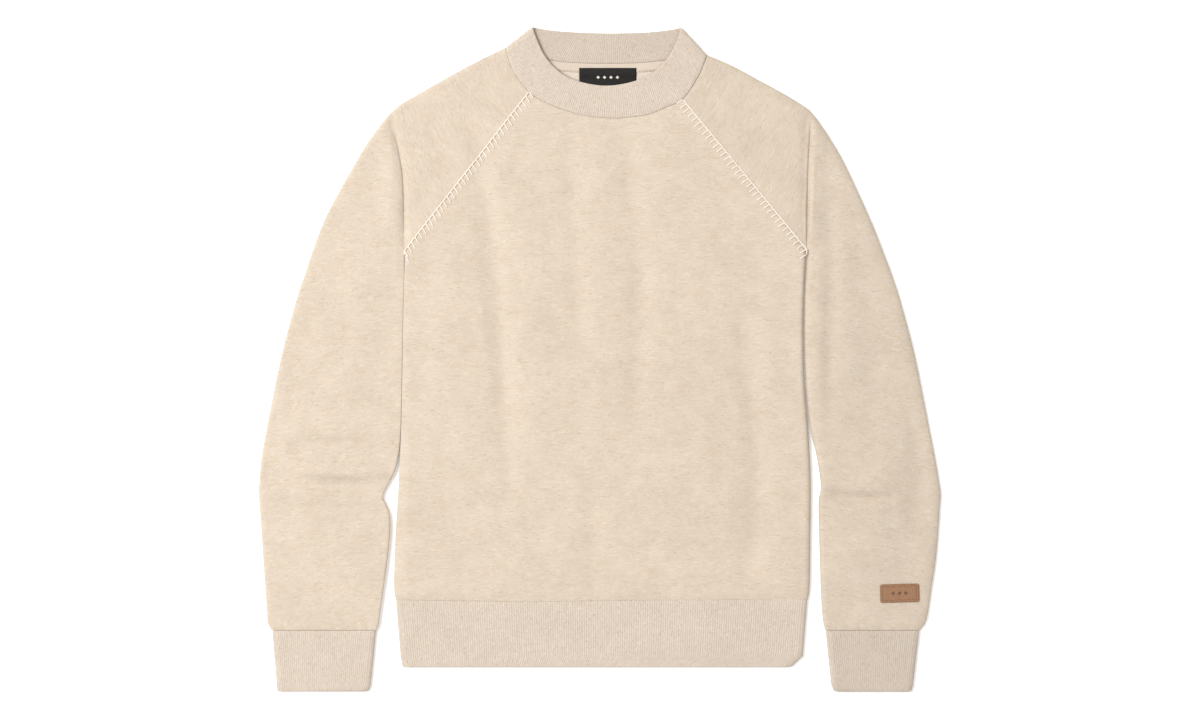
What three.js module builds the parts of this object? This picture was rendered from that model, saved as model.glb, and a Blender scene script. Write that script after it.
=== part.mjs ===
// Crewneck sweatshirt with raglan sleeves, lying flat and face up.
// Sizes are in millimetres. +X points to the wearer's left, +Y to the neck, +Z up from the surface below.
import * as THREE from "three";

// Cloth thickness, the gap at a seam, and the shape of a folded edge.
const FLEECE = 2.4;
const RIB = 3.0;
const SEAM_GAP = 0.3;
const FOLD_MIDDLE = 4;
const FOLD_WIDTH = 5;
const FOLD_ANGLES = { upper: [0, 35, 65, 90], lower: [0, 50, 90] };
const PIVOT_RADIUS = 0.6;

// Height of the upper layer where no crease changes it, and the least it may come down to.
const UPPER_HEIGHT = 7.8;
const UPPER_LOWEST = 5.6;
const HEM_HEIGHT = 7.2;
const CUFF_HEIGHT = 7.5;
const NECKBAND_LIFT = 0.7;

// Knitted rib of the hem, cuffs and neckband.
const RIB_PITCH = 2.6;
const RIB_RISE = 0.4;
const RIBS_PER_PLAIN_STEP = 3;

// Small pieces.
const TAPE = { from: 32, to: 204, edge: 0.4, width: 10.5, thick: 0.8 };
const LABEL = { left: -23, right: 41, thick: 0.7 };
const PATCH = { x: 335.6, y: -261.8, width: 43.5, height: 20.5, turn: 1.5, corner: 2.2, thick: 1.8 };

const COLORS = {
  body: 0xe9d8c4,
  sleeve: 0xe6d5c1,
  rib: 0xe3d3bf,
  tape: 0xe4d3c1,
  label: 0x1e1914,
  leather: 0x9f795d,
};

// Side edges of the body, from the hem seam up to the armpits.
const BODY_SIDES = [
  { y: -269.5, left: -228.5, right: 233 },
  { y: -253, left: -230.5, right: 235.3 },
  { y: -202.5, left: -229, right: 236 },
  { y: -135, left: -225, right: 236.5 },
  { y: -79, left: -222.5, right: 233.6 },
  { y: -23, left: -221.3, right: 229.4 },
  { y: 33, left: -220.4, right: 228.2 },
  { y: 77.5, left: -219.4, right: 229.2 },
  { y: 120, left: -218, right: 231.5 },
];

// Seam between the body and the hem band, from the wearer's right to left.
const HEM_SEAM = [
  { x: -228.5, y: -269.5 },
  { x: -150, y: -270.8 },
  { x: -53.5, y: -271 },
  { x: 43, y: -269.8 },
  { x: 139, y: -269.2 },
  { x: 233, y: -267.5 },
];

// Hem band, from its seam down. The bottom edge is a fold of the rib, so its last row comes in and down.
const HEM_BAND = [
  { y: -270, left: -228.3, right: 232.6, lower: 0 },
  { y: -333, left: -223.2, right: 227.5, lower: 0 },
  { y: -345, left: -221, right: 214, lower: 0.7 },
];

const CUFF_RIGHT = [
  { y: -303.7, left: -367, right: -250.6, lower: 0 },
  { y: -363, left: -362, right: -256.4, lower: 0 },
  { y: -372.2, left: -361.2, right: -262, lower: 0.8 },
];

const CUFF_LEFT = [
  { y: -303.7, left: 253, right: 358, lower: 0 },
  { y: -363, left: 259, right: 351.2, lower: 0 },
  { y: -372.5, left: 265, right: 349, lower: 0.8 },
];

// Neck seam of the front, from the shoulder fold of the wearer's right to that of the left.
const NECK_SEAM_FRONT = [
  { x: -106, y: 349 },
  { x: -97, y: 322.5 },
  { x: -78, y: 298.5 },
  { x: -56, y: 285.5 },
  { x: -22.5, y: 274 },
  { x: 14.5, y: 270 },
  { x: 51.5, y: 273.5 },
  { x: 74, y: 282 },
  { x: 93, y: 291.5 },
  { x: 110.5, y: 317 },
  { x: 120, y: 341 },
];

const NECK_SEAM_BACK = [
  { x: -106, y: 349 },
  { x: -82.5, y: 341.5 },
  { x: -58, y: 335.5 },
  { x: -27.5, y: 332.4 },
  { x: 8.5, y: 331.6 },
  { x: 45, y: 332.4 },
  { x: 72, y: 335 },
  { x: 97.5, y: 338 },
  { x: 120, y: 341 },
];

// Rows of the two tables above at which the raglan seams meet the neckband.
const RAGLAN_AT_NECK = 2;

const NECK_EDGE_FRONT = [
  { x: -75.5, y: 372.5 },
  { x: -70.3, y: 358.5 },
  { x: -62, y: 341 },
  { x: -48, y: 324.5 },
  { x: -27.5, y: 312.6 },
  { x: 4, y: 306.5 },
  { x: 34, y: 310.2 },
  { x: 58.5, y: 320.5 },
  { x: 76, y: 337.5 },
  { x: 85, y: 353.5 },
  { x: 91.5, y: 372 },
];

const NECK_EDGE_BACK = [
  { x: -75.5, y: 372.5 },
  { x: -60, y: 369.5 },
  { x: -33.5, y: 367 },
  { x: 8.5, y: 365.5 },
  { x: 50.5, y: 366.5 },
  { x: 76.5, y: 369 },
  { x: 91.5, y: 372 },
];

// Sleeves: the shoulder edge from the neck to the armpit's height, then both edges down to the cuff seam.
const SHOULDER_RIGHT = [
  { x: -106, y: 349 },
  { x: -135, y: 335 },
  { x: -165.5, y: 318.7 },
  { x: -195.5, y: 301.8 },
  { x: -222.5, y: 286 },
  { x: -229, y: 280.9 },
  { x: -234.5, y: 275.9 },
  { x: -240.5, y: 269 },
  { x: -249.5, y: 257.4 },
  { x: -266.5, y: 232.4 },
  { x: -304.5, y: 164.5 },
  { x: -321.5, y: 122 },
];

const ARM_RIGHT = [
  { innerX: -220.2, innerY: 96, outerX: -330, outerY: 97 },
  { innerX: -221.2, innerY: 66.5, outerX: -340, outerY: 66.5 },
  { innerX: -222.1, innerY: 10.5, outerX: -355, outerY: 10.5 },
  { innerX: -223, innerY: -45.5, outerX: -367, outerY: -45.5 },
  { innerX: -224, innerY: -88, outerX: -375, outerY: -88 },
  { innerX: -226, innerY: -111, outerX: -379, outerY: -111 },
  { innerX: -229.5, innerY: -125, outerX: -380.5, outerY: -125 },
  { innerX: -234.5, innerY: -135.5, outerX: -381.3, outerY: -135.5 },
  { innerX: -240, innerY: -146, outerX: -382, outerY: -146 },
  { innerX: -243, innerY: -154.5, outerX: -381.8, outerY: -154.5 },
  { innerX: -239, innerY: -163.5, outerX: -381, outerY: -163.5 },
  { innerX: -235.4, innerY: -174.5, outerX: -380.3, outerY: -174.5 },
  { innerX: -235, innerY: -194, outerX: -379, outerY: -194 },
  { innerX: -238, innerY: -225, outerX: -377, outerY: -225 },
  { innerX: -242.5, innerY: -258.5, outerX: -374.5, outerY: -258.5 },
  { innerX: -246, innerY: -283, outerX: -373, outerY: -283 },
  { innerX: -247.6, innerY: -295.5, outerX: -371.8, outerY: -295.5 },
  { innerX: -250, innerY: -303.4, outerX: -367.6, outerY: -303.4 },
];

const SHOULDER_LEFT = [
  { x: 120, y: 341 },
  { x: 147, y: 329.5 },
  { x: 177, y: 313.4 },
  { x: 207.5, y: 296.8 },
  { x: 231, y: 282 },
  { x: 237, y: 276.5 },
  { x: 243.5, y: 268.6 },
  { x: 250, y: 259.4 },
  { x: 258.5, y: 246.4 },
  { x: 274.5, y: 218.5 },
  { x: 302.5, y: 158 },
  { x: 317, y: 122 },
];

const ARM_LEFT = [
  { innerX: 231.6, innerY: 96, outerX: 326.5, outerY: 97 },
  { innerX: 230.8, innerY: 66.5, outerX: 336.5, outerY: 66.5 },
  { innerX: 230.9, innerY: 10.5, outerX: 351.5, outerY: 10.5 },
  { innerX: 233.4, innerY: -45.5, outerX: 363, outerY: -45.5 },
  { innerX: 237.3, innerY: -81.5, outerX: 370, outerY: -81.5 },
  { innerX: 242, innerY: -104, outerX: 374.4, outerY: -104 },
  { innerX: 245.6, innerY: -124, outerX: 378, outerY: -124 },
  { innerX: 247.2, innerY: -136.5, outerX: 380, outerY: -136.5 },
  { innerX: 247.4, innerY: -146, outerX: 381.6, outerY: -146 },
  { innerX: 245.6, innerY: -155, outerX: 382, outerY: -155 },
  { innerX: 245, innerY: -166.5, outerX: 381, outerY: -166.5 },
  { innerX: 245.5, innerY: -191, outerX: 379.5, outerY: -191 },
  { innerX: 246.5, innerY: -225, outerX: 376.5, outerY: -225 },
  { innerX: 247.5, innerY: -258.5, outerX: 371.5, outerY: -258.5 },
  { innerX: 249, innerY: -283, outerX: 368, outerY: -283 },
  { innerX: 250.4, innerY: -295.5, outerX: 364.6, outerY: -295.5 },
  { innerX: 252.6, innerY: -303.4, outerX: 358.6, outerY: -303.4 },
];

// Creases of the upper layer: each runs through three points and sinks or rises by its rise.
// Its depth fades away from the line over its width.
const CREASES = [
  { x1: -139, y1: 246, x2: -117, y2: 111, x3: -101, y3: -150, width: 12, rise: -1.8 },
  { x1: -110, y1: 230, x2: -88, y2: 100, x3: -74, y3: -140, width: 22, rise: 1.0 },
  { x1: -33, y1: 257, x2: -28, y2: 150, x3: -22, y3: 33, width: 11, rise: -0.7 },
  { x1: 28, y1: 257, x2: 45, y2: 111, x3: 39, y3: -45, width: 13, rise: -0.9 },
  { x1: 163, y1: 33, x2: 177, y2: -135, x3: 163, y3: -255, width: 15, rise: -1.4 },
  { x1: -10, y1: -150, x2: -8, y2: -205, x3: -4, y3: -250, width: 12, rise: -0.7 },
  { x1: -219, y1: 128, x2: -222.5, y2: 200, x3: -232.5, y3: 270, width: 5, rise: -1.6 },
  { x1: -233, y1: 150, x2: -234, y2: 215, x3: -244, y3: 262, width: 9, rise: 1.1 },
  { x1: 229, y1: 128, x2: 230, y2: 190, x3: 232, y3: 270, width: 6, rise: -1.5 },
  { x1: 240, y1: 140, x2: 243, y2: 200, x3: 246, y3: 255, width: 8, rise: 1.3 },
  { x1: -295, y1: 185, x2: -303, y2: 70, x3: -325, y3: -60, width: 24, rise: -0.6 },
  { x1: -337, y1: -95, x2: -285, y2: -97, x3: -235, y3: -99, width: 9, rise: -0.9 },
  { x1: -373, y1: -133, x2: -300, y2: -137, x3: -236, y3: -133, width: 7, rise: -2.0 },
  { x1: -371, y1: -147, x2: -300, y2: -150, x3: -248, y3: -151, width: 8, rise: 1.3 },
  { x1: -355, y1: -167, x2: -300, y2: -166, x3: -243, y3: -168, width: 7, rise: -0.9 },
  { x1: 258, y1: 176, x2: 260, y2: 60, x3: 257, y3: -34, width: 9, rise: -1.5 },
  { x1: 243, y1: 100, x2: 242, y2: 20, x3: 248, y3: -80, width: 9, rise: 1.5 },
  { x1: 250, y1: -105, x2: 263, y2: -107, x3: 278, y3: -109, width: 8, rise: -0.9 },
  { x1: 254, y1: -137, x2: 290, y2: -141, x3: 330, y3: -144, width: 8, rise: 1.2 },
  { x1: 250, y1: -150, x2: 288, y2: -153, x3: 326, y3: -157, width: 6, rise: -1.9 },
  { x1: 350, y1: -160, x2: 347, y2: -205, x3: 343, y3: -242, width: 12, rise: -0.9 },
  { x1: -226, y1: -270, x2: 0, y2: -271, x3: 230, y3: -268, width: 6, rise: -0.9 },
  { x1: -367, y1: -304, x2: -309, y2: -304, x3: -251, y3: -304, width: 5, rise: -0.9 },
  { x1: 253, y1: -304, x2: 306, y2: -304, x3: 358, y3: -304, width: 5, rise: -0.9 },
];

function distanceToSegment(x, y, x1, y1, x2, y2) {
  const dx = x2 - x1;
  const dy = y2 - y1;
  const along = THREE.MathUtils.clamp(((x - x1) * dx + (y - y1) * dy) / (dx * dx + dy * dy), 0, 1);
  return Math.hypot(x - x1 - dx * along, y - y1 - dy * along);
}

// Height of the outside of the upper layer over a point of the surface below.
function upperHeight(x, y) {
  let height = UPPER_HEIGHT;
  for (const c of CREASES) {
    const away = Math.min(
      distanceToSegment(x, y, c.x1, c.y1, c.x2, c.y2),
      distanceToSegment(x, y, c.x2, c.y2, c.x3, c.y3),
    );
    height += c.rise * Math.exp(-((away / c.width) ** 2));
  }
  return Math.max(height, UPPER_LOWEST);
}

// Paths are lists of Vector2.
const vectors = (table) => table.map((p) => new THREE.Vector2(p.x, p.y));

function smooth(table, steps) {
  return new THREE.SplineCurve(vectors(table)).getPoints(steps * (table.length - 1));
}

function lengthOf(path) {
  let sum = 0;
  for (let i = 1; i < path.length; i++) sum += path[i].distanceTo(path[i - 1]);
  return sum;
}

function walk(path, distance) {
  let left = distance;
  for (let i = 1; i < path.length; i++) {
    const step = path[i].distanceTo(path[i - 1]);
    if (left <= step || i === path.length - 1) {
      return path[i - 1].clone().lerp(path[i], left / step);
    }
    left -= step;
  }
  return path[0].clone();
}

const partWay = (path, share) => walk(path, share * lengthOf(path));

// A path moved to the left of its own direction.
function moved(path, distance) {
  return path.map((p, i) => {
    const before = path[Math.max(i - 1, 0)];
    const after = path[Math.min(i + 1, path.length - 1)];
    const ahead = after.clone().sub(p).normalize();
    const behind = p.clone().sub(before).normalize();
    const first = i === 0 ? ahead : behind;
    const last = i === path.length - 1 ? behind : ahead;
    const along = first.clone().add(last).normalize();
    const reach = distance / Math.max(along.dot(first), 0.4);
    return new THREE.Vector2(p.x - along.y * reach, p.y + along.x * reach);
  });
}

// A closed wall is gathered as points with a place along their row, and triangles between rows.
class Wall {
  constructor() {
    this.points = [];
    this.faces = [];
  }

  row(points) {
    return points.map((p) => {
      this.points.push(p.x, p.y, p.z);
      return { id: this.points.length / 3 - 1, place: p.place };
    });
  }

  skin(rows, flipped) {
    for (let r = 0; r + 1 < rows.length; r++) {
      for (let c = 0; c + 1 < rows[r].length; c++) {
        const a = rows[r][c].id;
        const b = rows[r][c + 1].id;
        const d = rows[r + 1][c + 1].id;
        const e = rows[r + 1][c].id;
        if (flipped) this.faces.push(a, d, b, a, e, d);
        else this.faces.push(a, b, d, a, d, e);
      }
    }
  }

  // A strip between two rows that may hold different numbers of points.
  strip(back, forth) {
    let i = 0;
    let j = 0;
    while (i + 1 < back.length || j + 1 < forth.length) {
      const nextBack = i + 1 < back.length ? back[i + 1].place : Infinity;
      const nextForth = j + 1 < forth.length ? forth[j + 1].place : Infinity;
      if (nextBack <= nextForth) {
        this.faces.push(back[i + 1].id, back[i].id, forth[j].id);
        i++;
      } else {
        this.faces.push(back[i].id, forth[j].id, forth[j + 1].id);
        j++;
      }
    }
  }

  mesh(name, color) {
    const geometry = new THREE.BufferGeometry();
    const position = new THREE.Float32BufferAttribute(this.points, 3);
    const corner = [0, 1, 2].map(() => new THREE.Vector3());
    let volume = 0;
    for (let i = 0; i < this.faces.length; i += 3) {
      corner.forEach((v, k) => v.fromBufferAttribute(position, this.faces[i + k]));
      volume += corner[0].dot(corner[1].cross(corner[2]));
    }
    if (volume < 0) this.faces.reverse();
    geometry.setAttribute("position", position);
    geometry.setIndex(this.faces);
    geometry.computeVertexNormals();
    const mesh = new THREE.Mesh(geometry, new THREE.MeshStandardMaterial({ color, roughness: 0.9 }));
    mesh.name = name;
    return mesh;
  }
}

// Columns across one layer of a row, folded at both ends. path(share) runs from the first fold to the second.
// The columns between the folds stand at given shares of the path, or are a number of equal steps.
function layerColumns(path, stops, folds, angles) {
  const columns = [];
  folds.forEach((fold, side) => {
    const start = path(side);
    const ahead = path(side === 0 ? 0.03 : 0.97).sub(start);
    const speed = ahead.length() / 0.03;
    ahead.normalize();
    const slant = 1 / Math.max(ahead.dot(fold.normal), 0.5);
    const inward = ahead.clone().multiplyScalar(slant);
    angles.forEach((degrees, k) => {
      const angle = THREE.MathUtils.degToRad(degrees);
      const reach = fold.start + FOLD_WIDTH * (1 - Math.cos(angle)) * slant;
      const share = reach / speed;
      const p = start.clone().addScaledVector(ahead, reach);
      const place = side === 0 ? share : 1 - share;
      columns.push({ x: p.x, y: p.y, inward, angle, place, crest: 0, edge: k === 0 });
    });
  });
  const least = Math.max(...columns.filter((c) => c.place < 0.5).map((c) => c.place));
  const most = Math.min(...columns.filter((c) => c.place >= 0.5).map((c) => c.place));
  const between = Array.isArray(stops)
    ? stops
    : Array.from({ length: stops - 1 }, (_, k) => THREE.MathUtils.lerp(least, most, (k + 1) / stops));
  between.forEach((share, k) => {
    const p = path(share);
    columns.push({ x: p.x, y: p.y, inward: null, angle: Math.PI / 2, place: share, crest: (k + 1) % 2 });
  });
  return columns.sort((a, b) => a.place - b.place);
}

const SIDES = { outer: 0, inner: 1 };

// The point of a column on the outside or the inside of the upper or the lower layer.
function columnPoint(column, wall, upper, side, place) {
  const depth = side === SIDES.inner ? wall.thick : 0;
  const rise = Math.sin(column.angle);
  const into = depth * Math.cos(column.angle);
  const top = wall.height(column.x, column.y) - depth;
  const middle = FOLD_MIDDLE + (wall.raise ?? 0) + (wall.apart ?? 0) * (upper ? 1 : -1);
  const z = upper ? middle + (top - middle) * rise : middle - (middle - depth) * rise;
  return {
    x: column.x + (column.inward ? column.inward.x * into : 0),
    y: column.y + (column.inward ? column.inward.y * into : 0),
    z: z + column.crest * (wall.crest ? wall.crest(upper, side) : 0),
    place,
  };
}

// One loop of a flattened tube: the upper layer from the first fold to the second, and the lower layer back.
function tubeLoop(row, wall, side, upperStops, lowerStops) {
  const folds = [
    { normal: row.normals[0], start: row.start },
    { normal: row.normals[1], start: 0 },
  ];
  const upper = layerColumns(row.upper, upperStops, folds, FOLD_ANGLES.upper);
  const lower = layerColumns(row.lower, lowerStops, folds, FOLD_ANGLES.lower).filter((c) => !c.edge);
  lower.reverse();
  return [
    ...upper.map((c) => columnPoint(c, wall, true, side, c.place)),
    ...lower.map((c) => columnPoint(c, wall, false, side, 2 - c.place)),
  ];
}

const evenStops = (count) => Array.from({ length: count + 1 }, (_, k) => k / count);

// A flattened tube with a wall. Outside and inside may have different numbers of columns.
function tube(name, color, rows, wall, stops) {
  const body = new Wall();
  const layers = [SIDES.outer, SIDES.inner].map((side) => {
    const counts = side === SIDES.outer ? stops.outer : stops.inner;
    const loops = rows.map((row) => {
      const shape = { ...wall, height: (x, y) => wall.height(x, y) - (row.loweredBy ?? 0) };
      const ids = body.row(tubeLoop(row, shape, side, counts.upper, counts.lower));
      return [...ids, { id: ids[0].id, place: 2 }];
    });
    body.skin(loops, side === SIDES.inner);
    return loops;
  });
  const [outer, inner] = layers;
  body.strip(outer[0], inner[0]);
  body.strip(inner[rows.length - 1], outer[rows.length - 1]);
  return body.mesh(name, color);
}

// Unit normal of an edge that points towards another point.
function normalTowards(before, after, from, to) {
  const along = after.clone().sub(before).normalize();
  const normal = new THREE.Vector2(-along.y, along.x);
  return normal.dot(to.clone().sub(from)) < 0 ? normal.negate() : normal;
}

function setNormals(rows, firstOuter) {
  rows.forEach((row, i) => {
    const before = rows[Math.max(i - 1, 0)];
    const after = rows[Math.min(i + 1, rows.length - 1)];
    const outerBefore = i === 0 && firstOuter ? firstOuter : before.outer;
    const inner = row.ray ?? normalTowards(before.inner, after.inner, row.inner, row.outer);
    const outer = normalTowards(outerBefore, after.outer, row.outer, row.inner);
    row.normals = [inner, outer];
  });
}

// Seams shared by the pieces, with their gap.
const HALF_GAP = SEAM_GAP / 2;

function seams(isRight) {
  const pick = (table) => (isRight ? table : [...table].reverse());
  const sides = BODY_SIDES[BODY_SIDES.length - 1];
  const armpit = new THREE.Vector2(isRight ? sides.left : sides.right, sides.y);
  const cut = RAGLAN_AT_NECK;
  const parts = (table) => {
    const ordered = pick(table);
    const neck = new THREE.SplineCurve(vectors(ordered));
    const last = ordered.length - 1;
    const nearNeck = Array.from({ length: 9 }, (_, k) => neck.getPoint(((8 - k) / 8) * (cut / last)));
    const top = nearNeck[0];
    const raglan = Array.from({ length: 17 }, (_, k) => armpit.clone().lerp(top, k / 16));
    return { raglan, nearNeck };
  };
  return { armpit, front: parts(NECK_SEAM_FRONT), back: parts(NECK_SEAM_BACK) };
}

const SEAMS = { right: seams(true), left: seams(false) };

// A sleeve turns about the armpit from the raglan seam to the arm, and then runs down to the cuff.
function sleeve(name, side, shoulder, arm) {
  const isRight = side === "right";
  const sign = isRight ? -1 : 1;
  const seam = SEAMS[side];
  const pivot = seam.armpit.clone().add(new THREE.Vector2(sign * 0.75, 0.3));
  const opening = [seam.front, seam.back].map(({ raglan, nearNeck }) => {
    const whole = [...raglan, ...nearNeck.slice(1)];
    const edge = moved(whole, isRight ? HALF_GAP : -HALF_GAP);
    const corner = raglan.length - 1;
    return { raglan: [pivot, ...edge.slice(1, corner + 1)], nearNeck: edge.slice(corner) };
  });
  const cornerShare = 0.8;
  const firstPath = (half) => (share) => {
    const { raglan, nearNeck } = opening[half];
    if (share <= cornerShare) return partWay(raglan, share / cornerShare);
    return partWay(nearNeck, (share - cornerShare) / (1 - cornerShare));
  };
  const rows = [];
  const firstOuter = opening[0].nearNeck[opening[0].nearNeck.length - 1];
  const turn = shoulder.length - 1;
  shoulder.forEach((p, i) => {
    const outer = i === 0 ? firstOuter : new THREE.Vector2(p.x, p.y);
    const keep = (1 - i / turn) ** 2.2;
    const path = (half) => (share) => {
      const straight = pivot.clone().lerp(outer, share);
      const bend = firstPath(half)(share).sub(pivot.clone().lerp(firstOuter, share));
      return straight.addScaledVector(bend, keep);
    };
    const ray = path(0)(0.02).sub(pivot).normalize();
    rows.push({ inner: pivot, outer, upper: path(0), lower: path(1), start: PIVOT_RADIUS, ray });
  });
  const inner = new THREE.SplineCurve(arm.map((p) => new THREE.Vector2(p.innerX, p.innerY)));
  const outer = new THREE.SplineCurve(arm.map((p) => new THREE.Vector2(p.outerX, p.outerY)));
  arm.forEach((p, i) => {
    const shares = i > 0 && arm[i - 1].innerY - p.innerY > 60 ? [0.5, 1] : [1];
    for (const share of i === 0 ? [1] : shares) {
      const at = (i - 1 + share) / (arm.length - 1);
      const from = inner.getPoint(Math.max(at, 0));
      const to = outer.getPoint(Math.max(at, 0));
      const path = (along) => from.clone().lerp(to, along);
      rows.push({ inner: from, outer: to, upper: path, lower: path, start: 0 });
    }
  });
  const neckCorner = vectors(NECK_EDGE_FRONT)[isRight ? 0 : NECK_EDGE_FRONT.length - 1];
  setNormals(rows, neckCorner);
  const upper = [0.1, 0.2, 0.3, 0.4, 0.5, 0.6, 0.7, cornerShare, 0.85, 0.9, 0.95];
  const lower = [0.27, 0.54, cornerShare, 0.9];
  const wall = { thick: FLEECE, height: upperHeight };
  const inside = { upper: [0.2, 0.4, 0.6, cornerShare, 0.85, 0.9, 0.95], lower: [0.5, cornerShare, 0.9] };
  const stops = { outer: { upper, lower }, inner: inside };
  return tube(name, COLORS.sleeve, rows, wall, stops);
}

// A body panel is blended between its hem, its two sides, and its raglan edges and neckline.
function panel(name, half, counts) {
  const isFront = half === "front";
  const right = SEAMS.right[half];
  const left = SEAMS.left[half];
  const neckTable = isFront ? NECK_SEAM_FRONT : NECK_SEAM_BACK;
  const neck = new THREE.SplineCurve(vectors(neckTable));
  const last = neckTable.length - 1;
  const from = RAGLAN_AT_NECK / last;
  const neckline = Array.from({ length: 41 }, (_, k) => neck.getPoint(from + (k / 40) * (1 - 2 * from)));
  const whole = [...right.raglan, ...neckline.slice(1), ...[...left.raglan].reverse().slice(1)];
  const edge = moved(whole, -HALF_GAP);
  const cornerRight = right.raglan.length - 1;
  const cornerLeft = cornerRight + 40;
  const sideOf = (key) => smooth(BODY_SIDES.map((p) => ({ x: p[key], y: p.y })), 6);
  const sides = [sideOf("left"), sideOf("right")];
  sides[0][sides[0].length - 1] = edge[0];
  sides[1][sides[1].length - 1] = edge[edge.length - 1];
  const hem = moved(smooth(HEM_SEAM, 8), HALF_GAP);
  sides[0][0] = hem[0];
  sides[1][0] = hem[hem.length - 1];
  const hemLength = lengthOf(hem);
  const edgeLength = lengthOf(edge);
  const columns = [];
  const foldColumn = (degrees, atLeft) => {
    const angle = THREE.MathUtils.degToRad(degrees);
    const reach = FOLD_WIDTH * (1 - Math.cos(angle));
    const share = atLeft ? reach / hemLength : 1 - reach / hemLength;
    const bottom = walk(hem, atLeft ? reach : hemLength - reach);
    const top = walk(edge, atLeft ? reach : edgeLength - reach);
    columns.push({ angle, share, bottom, top, fold: atLeft ? 0 : 1 });
  };
  const angles = isFront ? FOLD_ANGLES.upper : FOLD_ANGLES.lower;
  angles.forEach((degrees) => foldColumn(degrees, true));
  const parts = [
    { path: edge.slice(0, cornerRight + 1), count: counts.raglan },
    { path: edge.slice(cornerRight, cornerLeft + 1), count: counts.neck },
    { path: edge.slice(cornerLeft), count: counts.raglan },
  ];
  const spanOf = (x) => (x - hem[0].x) / (hem[hem.length - 1].x - hem[0].x);
  parts.forEach(({ path, count }, i) => {
    const shares = [spanOf(path[0].x), spanOf(path[path.length - 1].x)];
    for (let k = i === 1 ? 0 : 1; k < count + (i === 1 ? 1 : 0); k++) {
      const share = THREE.MathUtils.lerp(shares[0], shares[1], k / count);
      const top = partWay(path, k / count);
      columns.push({ angle: Math.PI / 2, share, bottom: partWay(hem, share), top, fold: -1 });
    }
  });
  [...angles].reverse().forEach((degrees) => foldColumn(degrees, false));
  const corners = [hem[0], hem[hem.length - 1], edge[0], edge[edge.length - 1]];
  const blend = (column, up, sidePoints) => {
    const a = column.share;
    const p = column.bottom.clone().multiplyScalar(1 - up).addScaledVector(column.top, up);
    p.addScaledVector(sidePoints[0], 1 - a).addScaledVector(sidePoints[1], a);
    p.addScaledVector(corners[0], -(1 - a) * (1 - up)).addScaledVector(corners[1], -a * (1 - up));
    return p.addScaledVector(corners[2], -(1 - a) * up).addScaledVector(corners[3], -a * up);
  };
  const body = new Wall();
  const wall = { thick: FLEECE, height: upperHeight, apart: HALF_GAP };
  const grids = [SIDES.outer, SIDES.inner].map((side) =>
    evenStops(counts.rows).map((up) => {
      const sidePoints = sides.map((path) => partWay(path, up));
      const flat = columns.map((column) => blend(column, up, sidePoints));
      const inward = [
        flat[2].clone().sub(flat[0]).normalize(),
        flat.at(-3).clone().sub(flat.at(-1)).normalize(),
      ];
      return body.row(
        columns.map((column, k) => {
          const { x, y } = flat[k];
          const spot = { x, y, angle: column.angle, inward: inward[column.fold], crest: 0 };
          return columnPoint(spot, wall, isFront, side, k);
        }),
      );
    }),
  );
  const [outer, inner] = grids;
  const edgeOf = (grid, k) => grid.map((row, r) => ({ id: row.at(k).id, place: r }));
  body.skin(outer, false);
  body.skin(inner, true);
  body.strip(outer[0], inner[0]);
  body.strip(inner[counts.rows], outer[counts.rows]);
  body.strip(edgeOf(inner, 0), edgeOf(outer, 0));
  body.strip(edgeOf(outer, -1), edgeOf(inner, -1));
  return body.mesh(name, COLORS.body);
}

// A straight ring of rib, such as a cuff, from a table of its rows.
function ribRing(name, table, height, seamLine) {
  const rows = table.map((row, i) => {
    const fade = 1 - i / (table.length - 1);
    const seamY = (x) => (seamLine ? (walkAtX(seamLine, x) - table[0].y) * fade : 0);
    const path = (share) => {
      const x = THREE.MathUtils.lerp(row.left, row.right, share);
      return new THREE.Vector2(x, row.y + seamY(x));
    };
    return { inner: path(0), outer: path(1), upper: path, lower: path, start: 0, loweredBy: row.lower };
  });
  setNormals(rows);
  const width = table[0].right - table[0].left;
  const ribs = 2 * Math.round(width / RIB_PITCH);
  const plain = Math.round(ribs / 2 / RIBS_PER_PLAIN_STEP);
  const few = 6;
  const wall = {
    thick: RIB,
    height: () => height,
    crest: (upper, side) => (upper && side === SIDES.outer ? RIB_RISE : 0),
  };
  const stops = {
    outer: { upper: ribs, lower: few },
    inner: { upper: plain, lower: few },
  };
  return tube(name, COLORS.rib, rows, wall, stops);
}

function walkAtX(path, x) {
  const i = Math.max(1, path.findIndex((p) => p.x >= x));
  const [a, b] = [path[i - 1], path[i]];
  return a.y + ((x - a.x) / (b.x - a.x)) * (b.y - a.y);
}

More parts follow.
